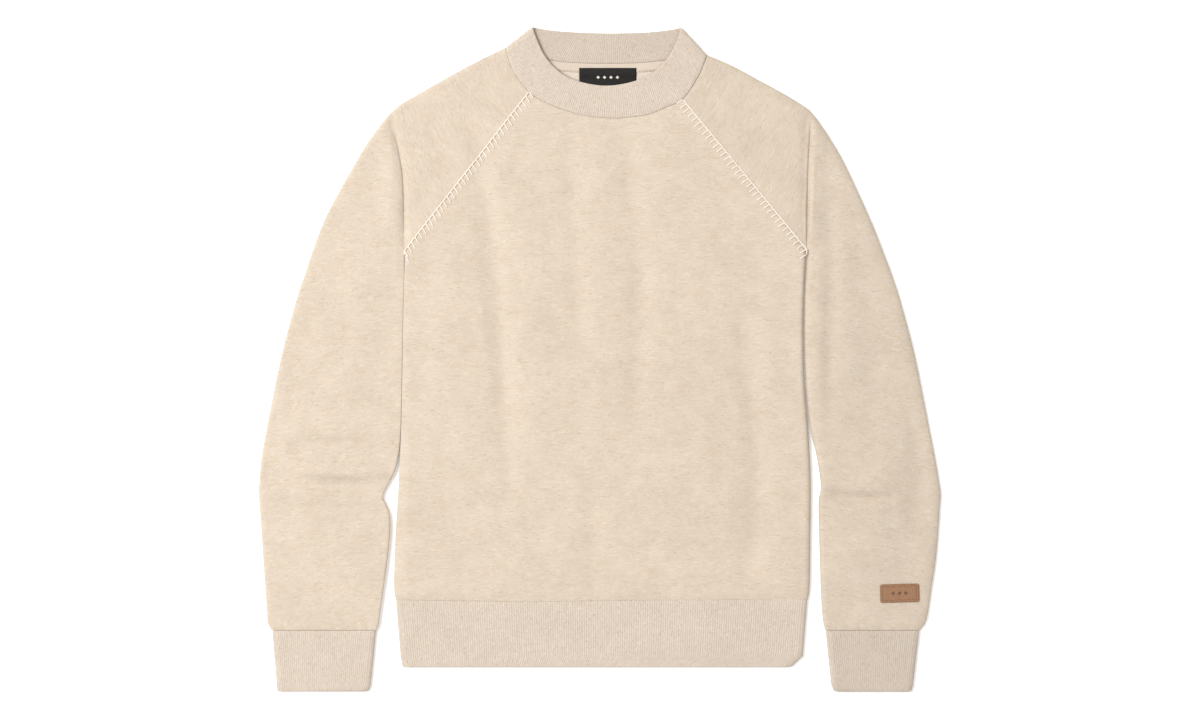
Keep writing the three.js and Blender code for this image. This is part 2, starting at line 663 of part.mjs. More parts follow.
// The neckband: its front half lies over its back half, and both are ribbed on the side that shows.
function neckband() {
  const seamFront = moved(smooth(NECK_SEAM_FRONT, 8), 1.35 * SEAM_GAP);
  const seamBack = moved(smooth(NECK_SEAM_BACK, 8), SEAM_GAP);
  const corners = vectors([NECK_SEAM_FRONT[0], NECK_SEAM_FRONT.at(-1)]);
  const edgeFront = smooth(NECK_EDGE_FRONT, 8);
  const edgeBack = smooth(NECK_EDGE_BACK, 8);
  const towards = [edgeFront[0], edgeFront.at(-1)];
  [seamFront, seamBack].forEach((path) => {
    [0, path.length - 1].forEach((i, end) => {
      const step = towards[end].clone().sub(corners[end]).normalize();
      path[i] = corners[end].clone().addScaledVector(step, 1.5 * SEAM_GAP);
    });
  });
  const depths = [0, 0.88, 1];
  const rows = depths.map((depth, i) => {
    const between = (a, b) => (share) => partWay(a, share).lerp(partWay(b, share), depth);
    const upper = between(seamFront, edgeFront);
    const lower = between(seamBack, edgeBack);
    return { inner: upper(0), outer: upper(1), upper, lower, start: 0, loweredBy: i === 2 ? 0.8 : 0 };
  });
  rows.forEach((row) => {
    const along = [0, 1].map((end) => towards[end].clone().sub(corners[end]).normalize());
    row.normals = [new THREE.Vector2(along[0].y, -along[0].x), new THREE.Vector2(-along[1].y, along[1].x)];
  });
  const ribsOf = (path) => 2 * Math.round(lengthOf(path) / RIB_PITCH);
  const plainOf = (path) => Math.round(ribsOf(path) / 2 / RIBS_PER_PLAIN_STEP);
  const wall = {
    thick: RIB,
    raise: NECKBAND_LIFT,
    height: (x, y) => upperHeight(x, y) + NECKBAND_LIFT,
    crest: (upper, side) => (upper === (side === SIDES.outer) ? RIB_RISE : 0),
  };
  const stops = {
    outer: { upper: ribsOf(seamFront), lower: plainOf(seamBack) },
    inner: { upper: plainOf(seamFront), lower: ribsOf(seamBack) },
  };
  return tube("neckband", COLORS.rib, rows, wall, stops);
}

// A thin piece that lies on another: rows of points for its underside, lifted by its thickness for the top.
function overlay(name, color, rows, thick) {
  const body = new Wall();
  const lift = (points, up) => points.map((p, k) => ({ x: p.x, y: p.y, z: p.z + up, place: k }));
  const under = rows.map((points) => body.row(lift(points, 0)));
  const over = rows.map((points) => body.row(lift(points, thick)));
  const edgeOf = (grid, k) => grid.map((row, r) => ({ id: row.at(k).id, place: r }));
  body.skin(over, false);
  body.skin(under, true);
  body.strip(over[0], under[0]);
  body.strip(under.at(-1), over.at(-1));
  body.strip(edgeOf(under, 0), edgeOf(over, 0));
  body.strip(edgeOf(over, -1), edgeOf(under, -1));
  return body.mesh(name, color);
}

function neckTape() {
  const seam = smooth(NECK_SEAM_BACK, 8);
  const rows = [TAPE.edge, TAPE.edge + TAPE.width / 2, TAPE.edge + TAPE.width].map((down) => {
    const path = moved(seam, -down);
    return evenStops(26).map((share) => {
      const p = walk(path, THREE.MathUtils.lerp(TAPE.from, TAPE.to, share));
      return { x: p.x, y: p.y, z: FLEECE + SEAM_GAP };
    });
  });
  return overlay("neck_tape", COLORS.tape, rows, TAPE.thick);
}

// The label is sewn over the lower edge of the tape and hangs down under the front of the neckband.
const LABEL_ROWS = [
  { y: 326.5, onTape: 1 },
  { y: 319.5, onTape: 1 },
  { y: 315.5, onTape: 0.15 },
  { y: 311, onTape: 0 },
  { y: 284, onTape: 0 },
];

function neckLabel() {
  const rows = LABEL_ROWS.map((row) =>
    evenStops(6).map((share) => ({
      x: THREE.MathUtils.lerp(LABEL.left, LABEL.right, share),
      y: row.y,
      z: FLEECE + SEAM_GAP + row.onTape * (TAPE.thick + SEAM_GAP),
    })),
  );
  return overlay("neck_label", COLORS.label, rows, LABEL.thick);
}

// The patch lies on the sleeve: a rounded rectangle in rings, whose points follow the sleeve's height.
function sleevePatch() {
  const body = new Wall();
  const turn = THREE.MathUtils.degToRad(PATCH.turn);
  const outline = (inset) => {
    const points = [];
    const half = { x: PATCH.width / 2 - inset, y: PATCH.height / 2 - inset };
    const radius = Math.max(PATCH.corner - inset / 2, 0.6);
    for (let quarter = 0; quarter < 4; quarter++) {
      const signX = quarter === 0 || quarter === 3 ? 1 : -1;
      const signY = quarter < 2 ? 1 : -1;
      for (let k = 0; k < 5; k++) {
        const angle = (quarter + k / 4) * (Math.PI / 2);
        points.push(
          new THREE.Vector2(
            signX * (half.x - radius) + radius * Math.cos(angle),
            signY * (half.y - radius) + radius * Math.sin(angle),
          ),
        );
      }
    }
    return points;
  };
  const ring = (inset, up) => {
    const points = outline(inset).map((p, k) => {
      p.rotateAround(new THREE.Vector2(), turn);
      const spot = { x: p.x + PATCH.x, y: p.y + PATCH.y };
      return { ...spot, z: upperHeight(spot.x, spot.y) + SEAM_GAP + up, place: k };
    });
    const ids = body.row(points);
    return [...ids, { id: ids[0].id, place: points.length }];
  };
  const rings = [
    ring(6, 0),
    ring(0, 0),
    ring(0, PATCH.thick - 0.5),
    ring(0.6, PATCH.thick),
    ring(6, PATCH.thick),
  ];
  body.skin(rings, false);
  const middle = { x: PATCH.x, y: PATCH.y };
  const base = upperHeight(middle.x, middle.y) + SEAM_GAP;
  const [low] = body.row([{ ...middle, z: base, place: 0 }]);
  const [high] = body.row([{ ...middle, z: base + PATCH.thick, place: 0 }]);
  body.strip(rings[0], [low]);
  body.strip([high], rings[4]);
  return body.mesh("sleeve_patch", COLORS.leather);
}

const garment = new THREE.Group();
garment.name = "sweatshirt";
garment.add(
  panel("front_panel", "front", { raglan: 7, neck: 16, rows: 20 }),
  panel("back_panel", "back", { raglan: 4, neck: 6, rows: 12 }),
  sleeve("sleeve_wearer_right", "right", SHOULDER_RIGHT, ARM_RIGHT),
  sleeve("sleeve_wearer_left", "left", SHOULDER_LEFT, ARM_LEFT),
  neckband(),
  ribRing("hem_band", HEM_BAND, HEM_HEIGHT, moved(smooth(HEM_SEAM, 8), -HALF_GAP)),
  ribRing("cuff_wearer_right", CUFF_RIGHT, CUFF_HEIGHT, null),
  ribRing("cuff_wearer_left", CUFF_LEFT, CUFF_HEIGHT, null),
  neckTape(),
  neckLabel(),
  sleevePatch(),
);

export default garment;
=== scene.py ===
import logging
import math
from dataclasses import dataclass, field, replace
from enum import Enum
from typing import Callable, Sequence

import bpy
import numpy as np
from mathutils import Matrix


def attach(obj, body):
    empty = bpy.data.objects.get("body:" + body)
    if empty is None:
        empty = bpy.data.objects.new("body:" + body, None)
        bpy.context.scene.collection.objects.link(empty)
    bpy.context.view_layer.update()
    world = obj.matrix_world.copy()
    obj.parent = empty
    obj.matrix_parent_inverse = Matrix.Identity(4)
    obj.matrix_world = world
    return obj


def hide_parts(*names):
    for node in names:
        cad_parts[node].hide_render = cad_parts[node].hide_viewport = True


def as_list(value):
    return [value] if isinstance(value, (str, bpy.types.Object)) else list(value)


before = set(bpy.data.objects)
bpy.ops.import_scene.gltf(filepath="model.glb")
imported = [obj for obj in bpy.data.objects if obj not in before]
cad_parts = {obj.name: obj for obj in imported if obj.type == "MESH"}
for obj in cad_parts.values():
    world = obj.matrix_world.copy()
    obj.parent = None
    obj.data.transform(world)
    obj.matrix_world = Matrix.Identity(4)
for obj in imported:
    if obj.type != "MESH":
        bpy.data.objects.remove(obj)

log = logging.getLogger("sweatshirt")

# Sizes in this file are millimetres, in the frame of the solids; meshes are made in metres.
MM = 0.001
FLEECE = 2.4
RIB = 3.0
SEAM_GAP = 0.06
HALF_GAP = SEAM_GAP / 2

# Heights of the upper layers over the surface below, where no crease changes them.
UPPER_HEIGHT = 7.8
HEM_HEIGHT = 7.2
CUFF_HEIGHT = 7.5
NECKBAND_LIFT = 0.7

# Side folds: usual width, fold angles, and the height of a fold's middle.
FOLD_WIDTH = 5.0
FOLD_ANGLES = np.radians([0.0, 14.0, 28.0, 42.0, 56.0, 73.0, 90.0])
FOLDS = len(FOLD_ANGLES)
FOLD_MIDDLE = 4.0
FACING_RISE = 1.8
FACING_END_X = 200.0

# Where the body and the wearer's right sleeve lie tight beside each other, their folds stand higher.
TIGHT_RISE = 3.4
TIGHT_X = -221.0
TIGHT_REACH = 5.0
TIGHT_Y = (-70.0, 130.0)
TIGHT_FADE = 22.0

# Knitted rib: width of one rib, its rise, and the points across it.
RIB_PITCH = 2.6
RIB_RISE = 0.36
RIB_POINTS = 6

# The raglan seam meets the neck seam at this row of the neck tables.
RAGLAN_AT_NECK = 2
# How far from the middle the shoulder's creases lie, where the rows stand closer.
CREASED = (224.0, 246.0)
# Share of half the wall that the first and last rows of cut cloth draw in by.
EDGE_PINCH = {0: 0.12, 1: 0.03, -1: 0.12, -2: 0.03}
# Share of a line over which the direction at its end is taken, and the same for a ray from the armpit.
END_SHARE = 0.03
RAY_SHARE = 0.02
# Widths of a crease after which it has died away, and how bluntly it fades along its line.
CREASE_REACH = 3.2
CREASE_BLUNTNESS = 0.8
# Slow waves of cloth laid by hand: radians per millimetre across and up, and the phase.
SWELLS = ((0.021, 0.034, 0.4), (0.047, -0.018, 2.1), (-0.033, 0.058, 4.0), (0.083, 0.027, 1.2))

Points = np.ndarray
Curve = Callable[[np.ndarray], np.ndarray]


def table(*rows: Sequence[float]) -> np.ndarray:
    """Rows of sizes as an array."""
    return np.array(rows, float)


# y, left, right
BODY_SIDES = table(
    (-269.5, -228.5, 233),
    (-253, -230.5, 235.3),
    (-202.5, -229, 236),
    (-135, -225, 236.5),
    (-79, -222.5, 233.6),
    (-23, -221.3, 229.4),
    (33, -220.4, 228.2),
    (77.5, -219.4, 229.2),
    (120, -218, 231.5),
)

# x, y
HEM_SEAM = table(
    (-228.5, -269.5),
    (-150, -270.8),
    (-53.5, -271),
    (43, -269.8),
    (139, -269.2),
    (233, -267.5),
)

# y, left, right
HEM_BAND = table(
    (-270, -228.3, 232.6),
    (-333, -223.2, 227.5),
    (-345, -221, 214),
)

# y, left, right
CUFF_RIGHT = table(
    (-303.7, -367, -250.6),
    (-363, -362, -256.4),
    (-369.8, -361.4, -257.4),
    (-372.2, -361.2, -260.6),
)

# y, left, right
CUFF_LEFT = table(
    (-303.7, 253, 358),
    (-363, 259, 351.2),
    (-370, 260.4, 350.2),
    (-372.5, 263.6, 348),
)

# x, y
NECK_SEAM_FRONT = table(
    (-106, 349),
    (-97, 322.5),
    (-78, 298.5),
    (-56, 285.5),
    (-22.5, 274),
    (14.5, 270),
    (51.5, 273.5),
    (74, 282),
    (93, 291.5),
    (110.5, 317),
    (120, 341),
)

# x, y
NECK_SEAM_BACK = table(
    (-106, 349),
    (-82.5, 341.5),
    (-58, 335.5),
    (-27.5, 332.4),
    (8.5, 331.6),
    (45, 332.4),
    (72, 335),
    (97.5, 338),
    (120, 341),
)

# x, y
NECK_EDGE_FRONT = table(
    (-75.5, 372.5),
    (-70.3, 358.5),
    (-62, 341),
    (-48, 324.5),
    (-27.5, 312.6),
    (4, 306.5),
    (34, 310.2),
    (58.5, 320.5),
    (76, 337.5),
    (85, 353.5),
    (91.5, 372),
)

# x, y
NECK_EDGE_BACK = table(
    (-75.5, 372.5),
    (-60, 369.5),
    (-33.5, 367),
    (8.5, 365.5),
    (50.5, 366.5),
    (76.5, 369),
    (91.5, 372),
)

# x, y
SHOULDER_RIGHT = table(
    (-106, 349),
    (-135, 335),
    (-165.5, 318.7),
    (-195.5, 301.8),
    (-222.5, 286),
    (-229, 280.9),
    (-234.5, 275.9),
    (-240.5, 269),
    (-249.5, 257.4),
    (-266.5, 232.4),
    (-304.5, 164.5),
    (-321.5, 122),
)

# inner x, inner y, outer x, outer y
ARM_RIGHT = table(
    (-218.9, 96, -330, 97),
    (-219.82, 66.5, -340, 66.5),
    (-220.98, 10.5, -355, 10.5),
    (-222.02, -45.5, -367, -45.5),
    (-223.3, -88, -375, -88),
    (-226, -111, -379, -111),
    (-229.5, -125, -380.5, -125),
    (-234.5, -135.5, -381.3, -135.5),
    (-240, -146, -382, -146),
    (-243, -154.5, -381.8, -154.5),
    (-239, -163.5, -381, -163.5),
    (-235.4, -174.5, -380.3, -174.5),
    (-235, -194, -379, -194),
    (-238, -225, -377, -225),
    (-242.5, -258.5, -374.5, -258.5),
    (-246, -283, -373, -283),
    (-247.6, -295.5, -371.8, -295.5),
    (-250, -303.4, -367.6, -303.4),
)

# x, y
SHOULDER_LEFT = table(
    (120, 341),
    (147, 329.5),
    (177, 313.4),
    (207.5, 296.8),
    (231, 282),
    (237, 276.5),
    (243.5, 268.6),
    (250, 259.4),
    (258.5, 246.4),
    (274.5, 218.5),
    (302.5, 158),
    (317, 122),
)

# inner x, inner y, outer x, outer y
ARM_LEFT = table(
    (231.0, 96, 326.5, 97),
    (229.7, 66.5, 336.5, 66.5),
    (229.5, 10.5, 351.5, 10.5),
    (232.2, -45.5, 363, -45.5),
    (236.6, -81.5, 370, -81.5),
    (242, -104, 374.4, -104),
    (245.6, -124, 378, -124),
    (247.2, -136.5, 380, -136.5),
    (247.4, -146, 381.6, -146),
    (245.6, -155, 382, -155),
    (245, -166.5, 381, -166.5),
    (245.5, -191, 379.5, -191),
    (246.5, -225, 376.5, -225),
    (247.5, -258.5, 371.5, -258.5),
    (249, -283, 368, -283),
    (250.4, -295.5, 364.6, -295.5),
    (252.6, -303.4, 358.6, -303.4),
)

# Main creases of the upper layer: x1, y1, x2, y2, x3, y3, width, rise
MAIN_CREASES = table(
    (-139, 246, -117, 111, -101, -150, 12, -1.8),
    (-110, 230, -88, 100, -74, -140, 22, 1.0),
    (-33, 257, -28, 150, -22, 33, 11, -0.7),
    (28, 257, 45, 111, 39, -45, 13, -0.9),
    (163, 33, 177, -135, 163, -255, 15, -1.4),
    (-10, -150, -8, -205, -4, -250, 12, -0.7),
    (-219, 128, -222.5, 200, -232.5, 270, 5, -1.6),
    (-233, 150, -234, 215, -244, 262, 9, 1.1),
    (229, 128, 230, 190, 232, 270, 6, -1.5),
    (240, 140, 243, 200, 246, 255, 8, 1.3),
    (-295, 185, -303, 70, -325, -60, 24, -0.6),
    (-337, -95, -285, -97, -235, -99, 9, -0.9),
    (-373, -133, -300, -137, -236, -133, 7, -2.0),
    (-371, -147, -300, -150, -248, -151, 8, 1.3),
    (-355, -167, -300, -166, -243, -168, 7, -0.9),
    (258, 176, 260, 60, 257, -34, 9, -1.5),
    (243, 100, 242, 20, 248, -80, 9, 1.5),
    (250, -105, 263, -107, 278, -109, 8, -0.9),
    (254, -137, 290, -141, 330, -144, 8, 1.2),
    (250, -150, 288, -153, 326, -157, 6, -1.9),
    (350, -160, 347, -205, 343, -242, 12, -0.9),
    (-226, -270, 0, -271, 230, -268, 6, -0.9),
    (-367, -304, -309, -304, -251, -304, 5, -0.9),
    (253, -304, 306, -304, 358, -304, 5, -0.9),
)

# Finer folds that fade at their ends: x1, y1, x2, y2, x3, y3, width, rise
FINE_CREASES = table(
    (-218.6, 122, -219.6, 205, -229.5, 260, 2.2, -1.7),
    (-218.8, 130, -220.4, 205, -230.5, 257, 0.9, -1.0),
    (232, 121, 233.6, 190, 236.8, 270, 0.8, -2.4),
    (-224.5, 140, -225, 205, -235.5, 258, 4.5, 1.0),
    (232, 122, 233.5, 190, 236.5, 268, 1.7, -2.6),
    (237, 130, 238.5, 195, 241.5, 258, 3.4, 1.1),
    (-338, -142, -280, -147, -224, -152, 8, -4.0),
    (-345, -148, -290, -158, -248, -170, 14, 2.2),
    (-350, -98, -310, -94, -258, -99, 9, -2.2),
    (344, -35, 358, -105, 361, -205, 13, -2.2),
    (308, -50, 319, -135, 309, -238, 24, 2.6),
    (-342, -125, -285, -128, -222, -132, 8, 3.8),
    (-375, -121, -352, -127, -330, -128, 4, -0.4),
    (-250, -172, -285, -181, -318, -183, 6, -0.4),
    (246, -151, 283, -157.5, 330, -153.5, 4.2, -2.9),
    (247, -162, 284, -167, 326, -164, 7, 1.7),
    (250, -140, 284, -145, 316, -142, 6, 1.0),
    (249, -108, 262, -107, 282, -111, 4, -0.6),
    (322, -160, 350, -171, 372, -170, 6, -0.4),
    (-138, 238, -118, 90, -99, -150, 11, -1.6),
    (-70, 225, -66, 60, -52, -190, 30, 1.7),
    (-172, 190, -166, 40, -150, -200, 30, 1.5),
    (-34, 265, -28, 130, -21, -10, 12, -0.9),
    (-2, 240, 6, 120, 10, -80, 22, 0.9),
    (26, 265, 46, 90, 40, -100, 13, -1.2),
    (92, 230, 104, 60, 98, -180, 34, 1.5),
    (160, 60, 178, -140, 162, -262, 15, -1.6),
    (204, 60, 208, -110, 200, -255, 20, 1.1),
    (-12, -120, -9, -200, -4, -262, 11, -0.8),
    (-150, 225, -131, 120, -120, 10, 6, -0.5),
    (-60, 215, -52, 90, -47, -60, 16, -0.5),
    (95, 205, 101, 60, 92, -120, 18, -0.45),
    (150, 190, 143, 80, 150, -30, 14, 0.35),
    (-170, -40, -175, -150, -160, -245, 16, -0.45),
    (60, -120, 66, -190, 58, -255, 12, -0.4),
    (205, 90, 208, 0, 203, -95, 12, -0.5),
    (-200, 60, -204, -60, -206, -200, 10, -0.4),
    (290, 120, 305, 10, 312, -70, 14, -0.5),
    (-260, 60, -272, -20, -290, -90, 14, 0.35),
    (-330, 40, -345, -30, -352, -88, 10, -0.4),
    (-150, 310, -176, 268, -196, 224, 12, -0.4),
    (150, 300, 180, 262, 200, 216, 12, -0.4),
    (-340, -210, -334, -250, -330, -292, 7, -0.4),
    (-280, -230, -284, -262, -286, -296, 6, -0.35),
    (282, -225, 284, -258, 290, -297, 6, -0.4),
    (326, -236, 328, -262, 326, -297, 6, -0.3),
)

# Broad crowns of the body and the sleeves: x1, y1, x2, y2, x3, y3, width, rise
CROWNS = table(
    (0, 285, 5, 0, 5, -268, 150, 2.4),
    (-270, 205, -302, -20, -310, -300, 36, 2.0),
    (247, 205, 266, -20, 276, -300, 40, 3.2),
    (-165, 312, -196, 250, -214, 150, 26, 0.8),
    (172, 308, 203, 250, 225, 150, 26, 0.8),
)


class Side(Enum):
    """The wearer's side that a piece belongs to."""

    RIGHT = "wearer_right"
    LEFT = "wearer_left"


class Half(Enum):
    """The half of the body that a panel covers."""

    FRONT = "front_panel"
    BACK = "back_panel"


class Fade(Enum):
    """Where a crease fades along its line, by the share of the swell to its middle that it starts with."""

    NOWHERE = None
    TIP = 0.3
    ENDS = 0.0


class Layer(Enum):
    """A layer of a piece that lies flat."""

    UPPER = 1
    LOWER = -1


def unit(v: np.ndarray) -> np.ndarray:
    """A vector at length one."""
    return v / max(float(np.linalg.norm(v)), 1e-9)


def spline(points: Points, steps: int) -> Points:
    """Runs a smooth curve through points.

    Args:
        points: Rows of x, y that the curve passes through.
        steps: Number of steps between two of them.

    Returns:
        The points of the curve.
    """
    return spline_at(points, np.linspace(0, 1, steps * (len(points) - 1) + 1))


def spline_at(points: Points, shares: np.ndarray) -> Points:
    """Finds points of a smooth curve.

    Args:
        points: Rows that the curve passes through.
        shares: Places along the curve, from 0 to 1.

    Returns:
        One row for each place.
    """
    last = len(points) - 1
    where = np.clip(shares, 0, 1) * last
    i = np.minimum(where.astype(int), last - 1)
    t = (where - i)[:, None]
    p0, p1 = points[np.maximum(i - 1, 0)], points[i]
    p2, p3 = points[i + 1], points[np.minimum(i + 2, last)]
    v0, v1 = (p2 - p0) / 2, (p3 - p1) / 2
    return (2 * p1 - 2 * p2 + v0 + v1) * t**3 + (3 * p2 - 3 * p1 - 2 * v0 - v1) * t**2 + v0 * t + p1


@dataclass
class Path:
    """A line of points that is walked by its length."""

    points: Points

    def __post_init__(self) -> None:
        """Measures the line."""
        steps = np.linalg.norm(np.diff(self.points, axis=0), axis=1)
        self.reached = np.concatenate([[0], np.cumsum(steps)])

    @property
    def length(self) -> float:
        """Length of the line."""
        return float(self.reached[-1])

    def at(self, shares: np.ndarray) -> Points:
        """Points at shares of the length."""
        return self.walk(np.asarray(shares) * self.length)

    def walk(self, distances: np.ndarray) -> Points:
        """Finds points by their distance from the start.

        Args:
            distances: Distances along the line.

        Returns:
            One row of x, y for each distance.
        """
        return np.stack([np.interp(distances, self.reached, self.points[:, k]) for k in (0, 1)], -1)

    def moved(self, distance: float) -> "Path":
        """Moves the line to the left of its own direction.

        Args:
            distance: How far it moves; a negative distance moves it to the right.

        Returns:
            The moved line.
        """
        steps = np.diff(self.points, axis=0)
        steps /= np.linalg.norm(steps, axis=1)[:, None]
        ahead = np.vstack([steps, steps[-1:]])
        behind = np.vstack([steps[:1], steps])
        along = ahead + behind
        along /= np.linalg.norm(along, axis=1)[:, None]
        reach = distance / np.maximum((along * behind).sum(1), 0.4)
        return Path(self.points + np.stack([-along[:, 1], along[:, 0]], -1) * reach[:, None])


@dataclass
class Crease:
    """A soft trough or ridge along a line."""

    line: Points
    width: float
    rise: float
    fade: Fade = Fade.NOWHERE

    def height(self, x: np.ndarray, y: np.ndarray) -> np.ndarray:
        """Works out how far the crease moves the surface.

        Args:
            x: Places across.
            y: Places up.

        Returns:
            The rise at each place.
        """
        reach = CREASE_REACH * self.width
        low, high = self.line.min(0) - reach, self.line.max(0) + reach
        near = (x > low[0]) & (x < high[0]) & (y > low[1]) & (y < high[1])
        total = np.zeros(x.shape)
        if near.any():
            total[near] = self.height_near(x[near], y[near])
        return total

    def height_near(self, x: np.ndarray, y: np.ndarray) -> np.ndarray:
        """Works out the rise at places that the crease may reach.

        Args:
            x: Places across.
            y: Places up.

        Returns:
            The rise at each place.
        """
        nearest = np.full(x.shape, np.inf)
        along = np.zeros(x.shape)
        count = len(self.line) - 1
        for i in range(count):
            a, b = self.line[i], self.line[i + 1]
            d = b - a
            t = np.clip(((x - a[0]) * d[0] + (y - a[1]) * d[1]) / float(d @ d), 0, 1)
            away = np.hypot(x - a[0] - d[0] * t, y - a[1] - d[1] * t)
            closer = away < nearest
            nearest = np.where(closer, away, nearest)
            along = np.where(closer, (i + t) / count, along)
        strength = 1.0
        if self.fade is not Fade.NOWHERE:
            start = self.fade.value
            strength = np.sin(np.pi * np.clip(start + (1 - start) * along, 0, 1)) ** CREASE_BLUNTNESS
        return self.rise * np.exp(-((nearest / self.width) ** 2)) * strength


@dataclass
class Relief:
    """Height of the outside of an upper layer over the surface below."""

    base: float
    creases: list[Crease] = field(default_factory=list)
    lowest: float = 5.3
    swell: float = 0.0

    def height(self, x: np.ndarray, y: np.ndarray) -> np.ndarray:
        """Height of the surface over each place.

        Args:
            x: Places across.
            y: Places up.

        Returns:
            The heights.
        """
        total = np.full(x.shape, float(self.base))
        for crease in self.creases:
            total += crease.height(x, y)
        for kx, ky, phase in SWELLS:
            total += self.swell * np.sin(kx * x + ky * y + phase)
        return np.maximum(total, self.lowest)


def creases_from(rows: np.ndarray, fade: Fade) -> list[Crease]:
    """Makes creases from a table of their three points, width and rise."""
    return [Crease(spline(row[:6].reshape(3, 2), 6), row[6], row[7], fade) for row in rows]


class Stitching(Enum):
    """How dense the puckers along a seam stand."""

    GATHERED = 9.0
    EASED = 15.0


# Least and most of a pucker's width, and of its length, depth and spacing as shares of the usual ones.
PUCKER_WIDTH = (1.6, 3.2)
PUCKER_LENGTH = (0.5, 1.4)
PUCKER_DEPTH = (0.3, 1.0)
PUCKER_SPACING = (0.5, 1.6)
# How far a pucker leans either way, the share of the spacing before the first one, and the clear end.
PUCKER_LEAN = 0.35
PUCKER_START = 0.7
PUCKER_END = 6.0


def puckers(seam: Path, reach: float, depth: float, spacing: Stitching, seed: int) -> list[Crease]:
    """Short uneven puckers that start at a seam and fade away from it.

    Args:
        seam: The seam.
        reach: Usual length of a pucker; negative ones lie to the right of the seam.
        depth: Usual depth.
        spacing: How close they stand.
        seed: Start of the random numbers.

    Returns:
        The puckers as creases.
    """
    rng = np.random.default_rng(seed)
    found = []
    distance = spacing.value * PUCKER_START
    while distance < seam.length - PUCKER_END:
        a, b = seam.walk(np.array([distance, distance + 1.0]))
        left = np.array([-(b - a)[1], (b - a)[0]])
        lean = unit(b - a) * rng.uniform(-PUCKER_LEAN, PUCKER_LEAN)
        tip = a + (left + lean) * reach * rng.uniform(*PUCKER_LENGTH)
        line = np.stack([a, (a + tip) / 2 + lean, tip])
        width = rng.uniform(*PUCKER_WIDTH)
        found.append(Crease(line, width, -depth * rng.uniform(*PUCKER_DEPTH), Fade.TIP))
        distance += spacing.value * rng.uniform(*PUCKER_SPACING)
    return found


@dataclass
class Seam:
    """Raglan seam and the part of the neck seam next to it, on one half of the body."""

    raglan: Points
    near_neck: Points


def raglan_seam(side: Side, neck_table: np.ndarray) -> Seam:
    """Finds the raglan seam from the armpit to the neckband.

    Args:
        side: The wearer's side.
        neck_table: Neck seam of the half.

    Returns:
        The seam, from the armpit up.
    """
    is_right = side is Side.RIGHT
    sides = BODY_SIDES[-1]
    armpit = np.array([sides[1] if is_right else sides[2], sides[0]])
    ordered = neck_table if is_right else neck_table[::-1]
    share = RAGLAN_AT_NECK / (len(ordered) - 1)
    near_neck = spline_at(ordered, np.linspace(share, 0, 25))
    steps = np.linspace(0, 1, 33)[:, None]
    return Seam(armpit * (1 - steps) + near_neck[0] * steps, near_neck)


def stand(thing: bpy.types.Object) -> bpy.types.Object:
    """Puts an object in the scene and returns it."""
    bpy.context.scene.collection.objects.link(thing)
    return thing


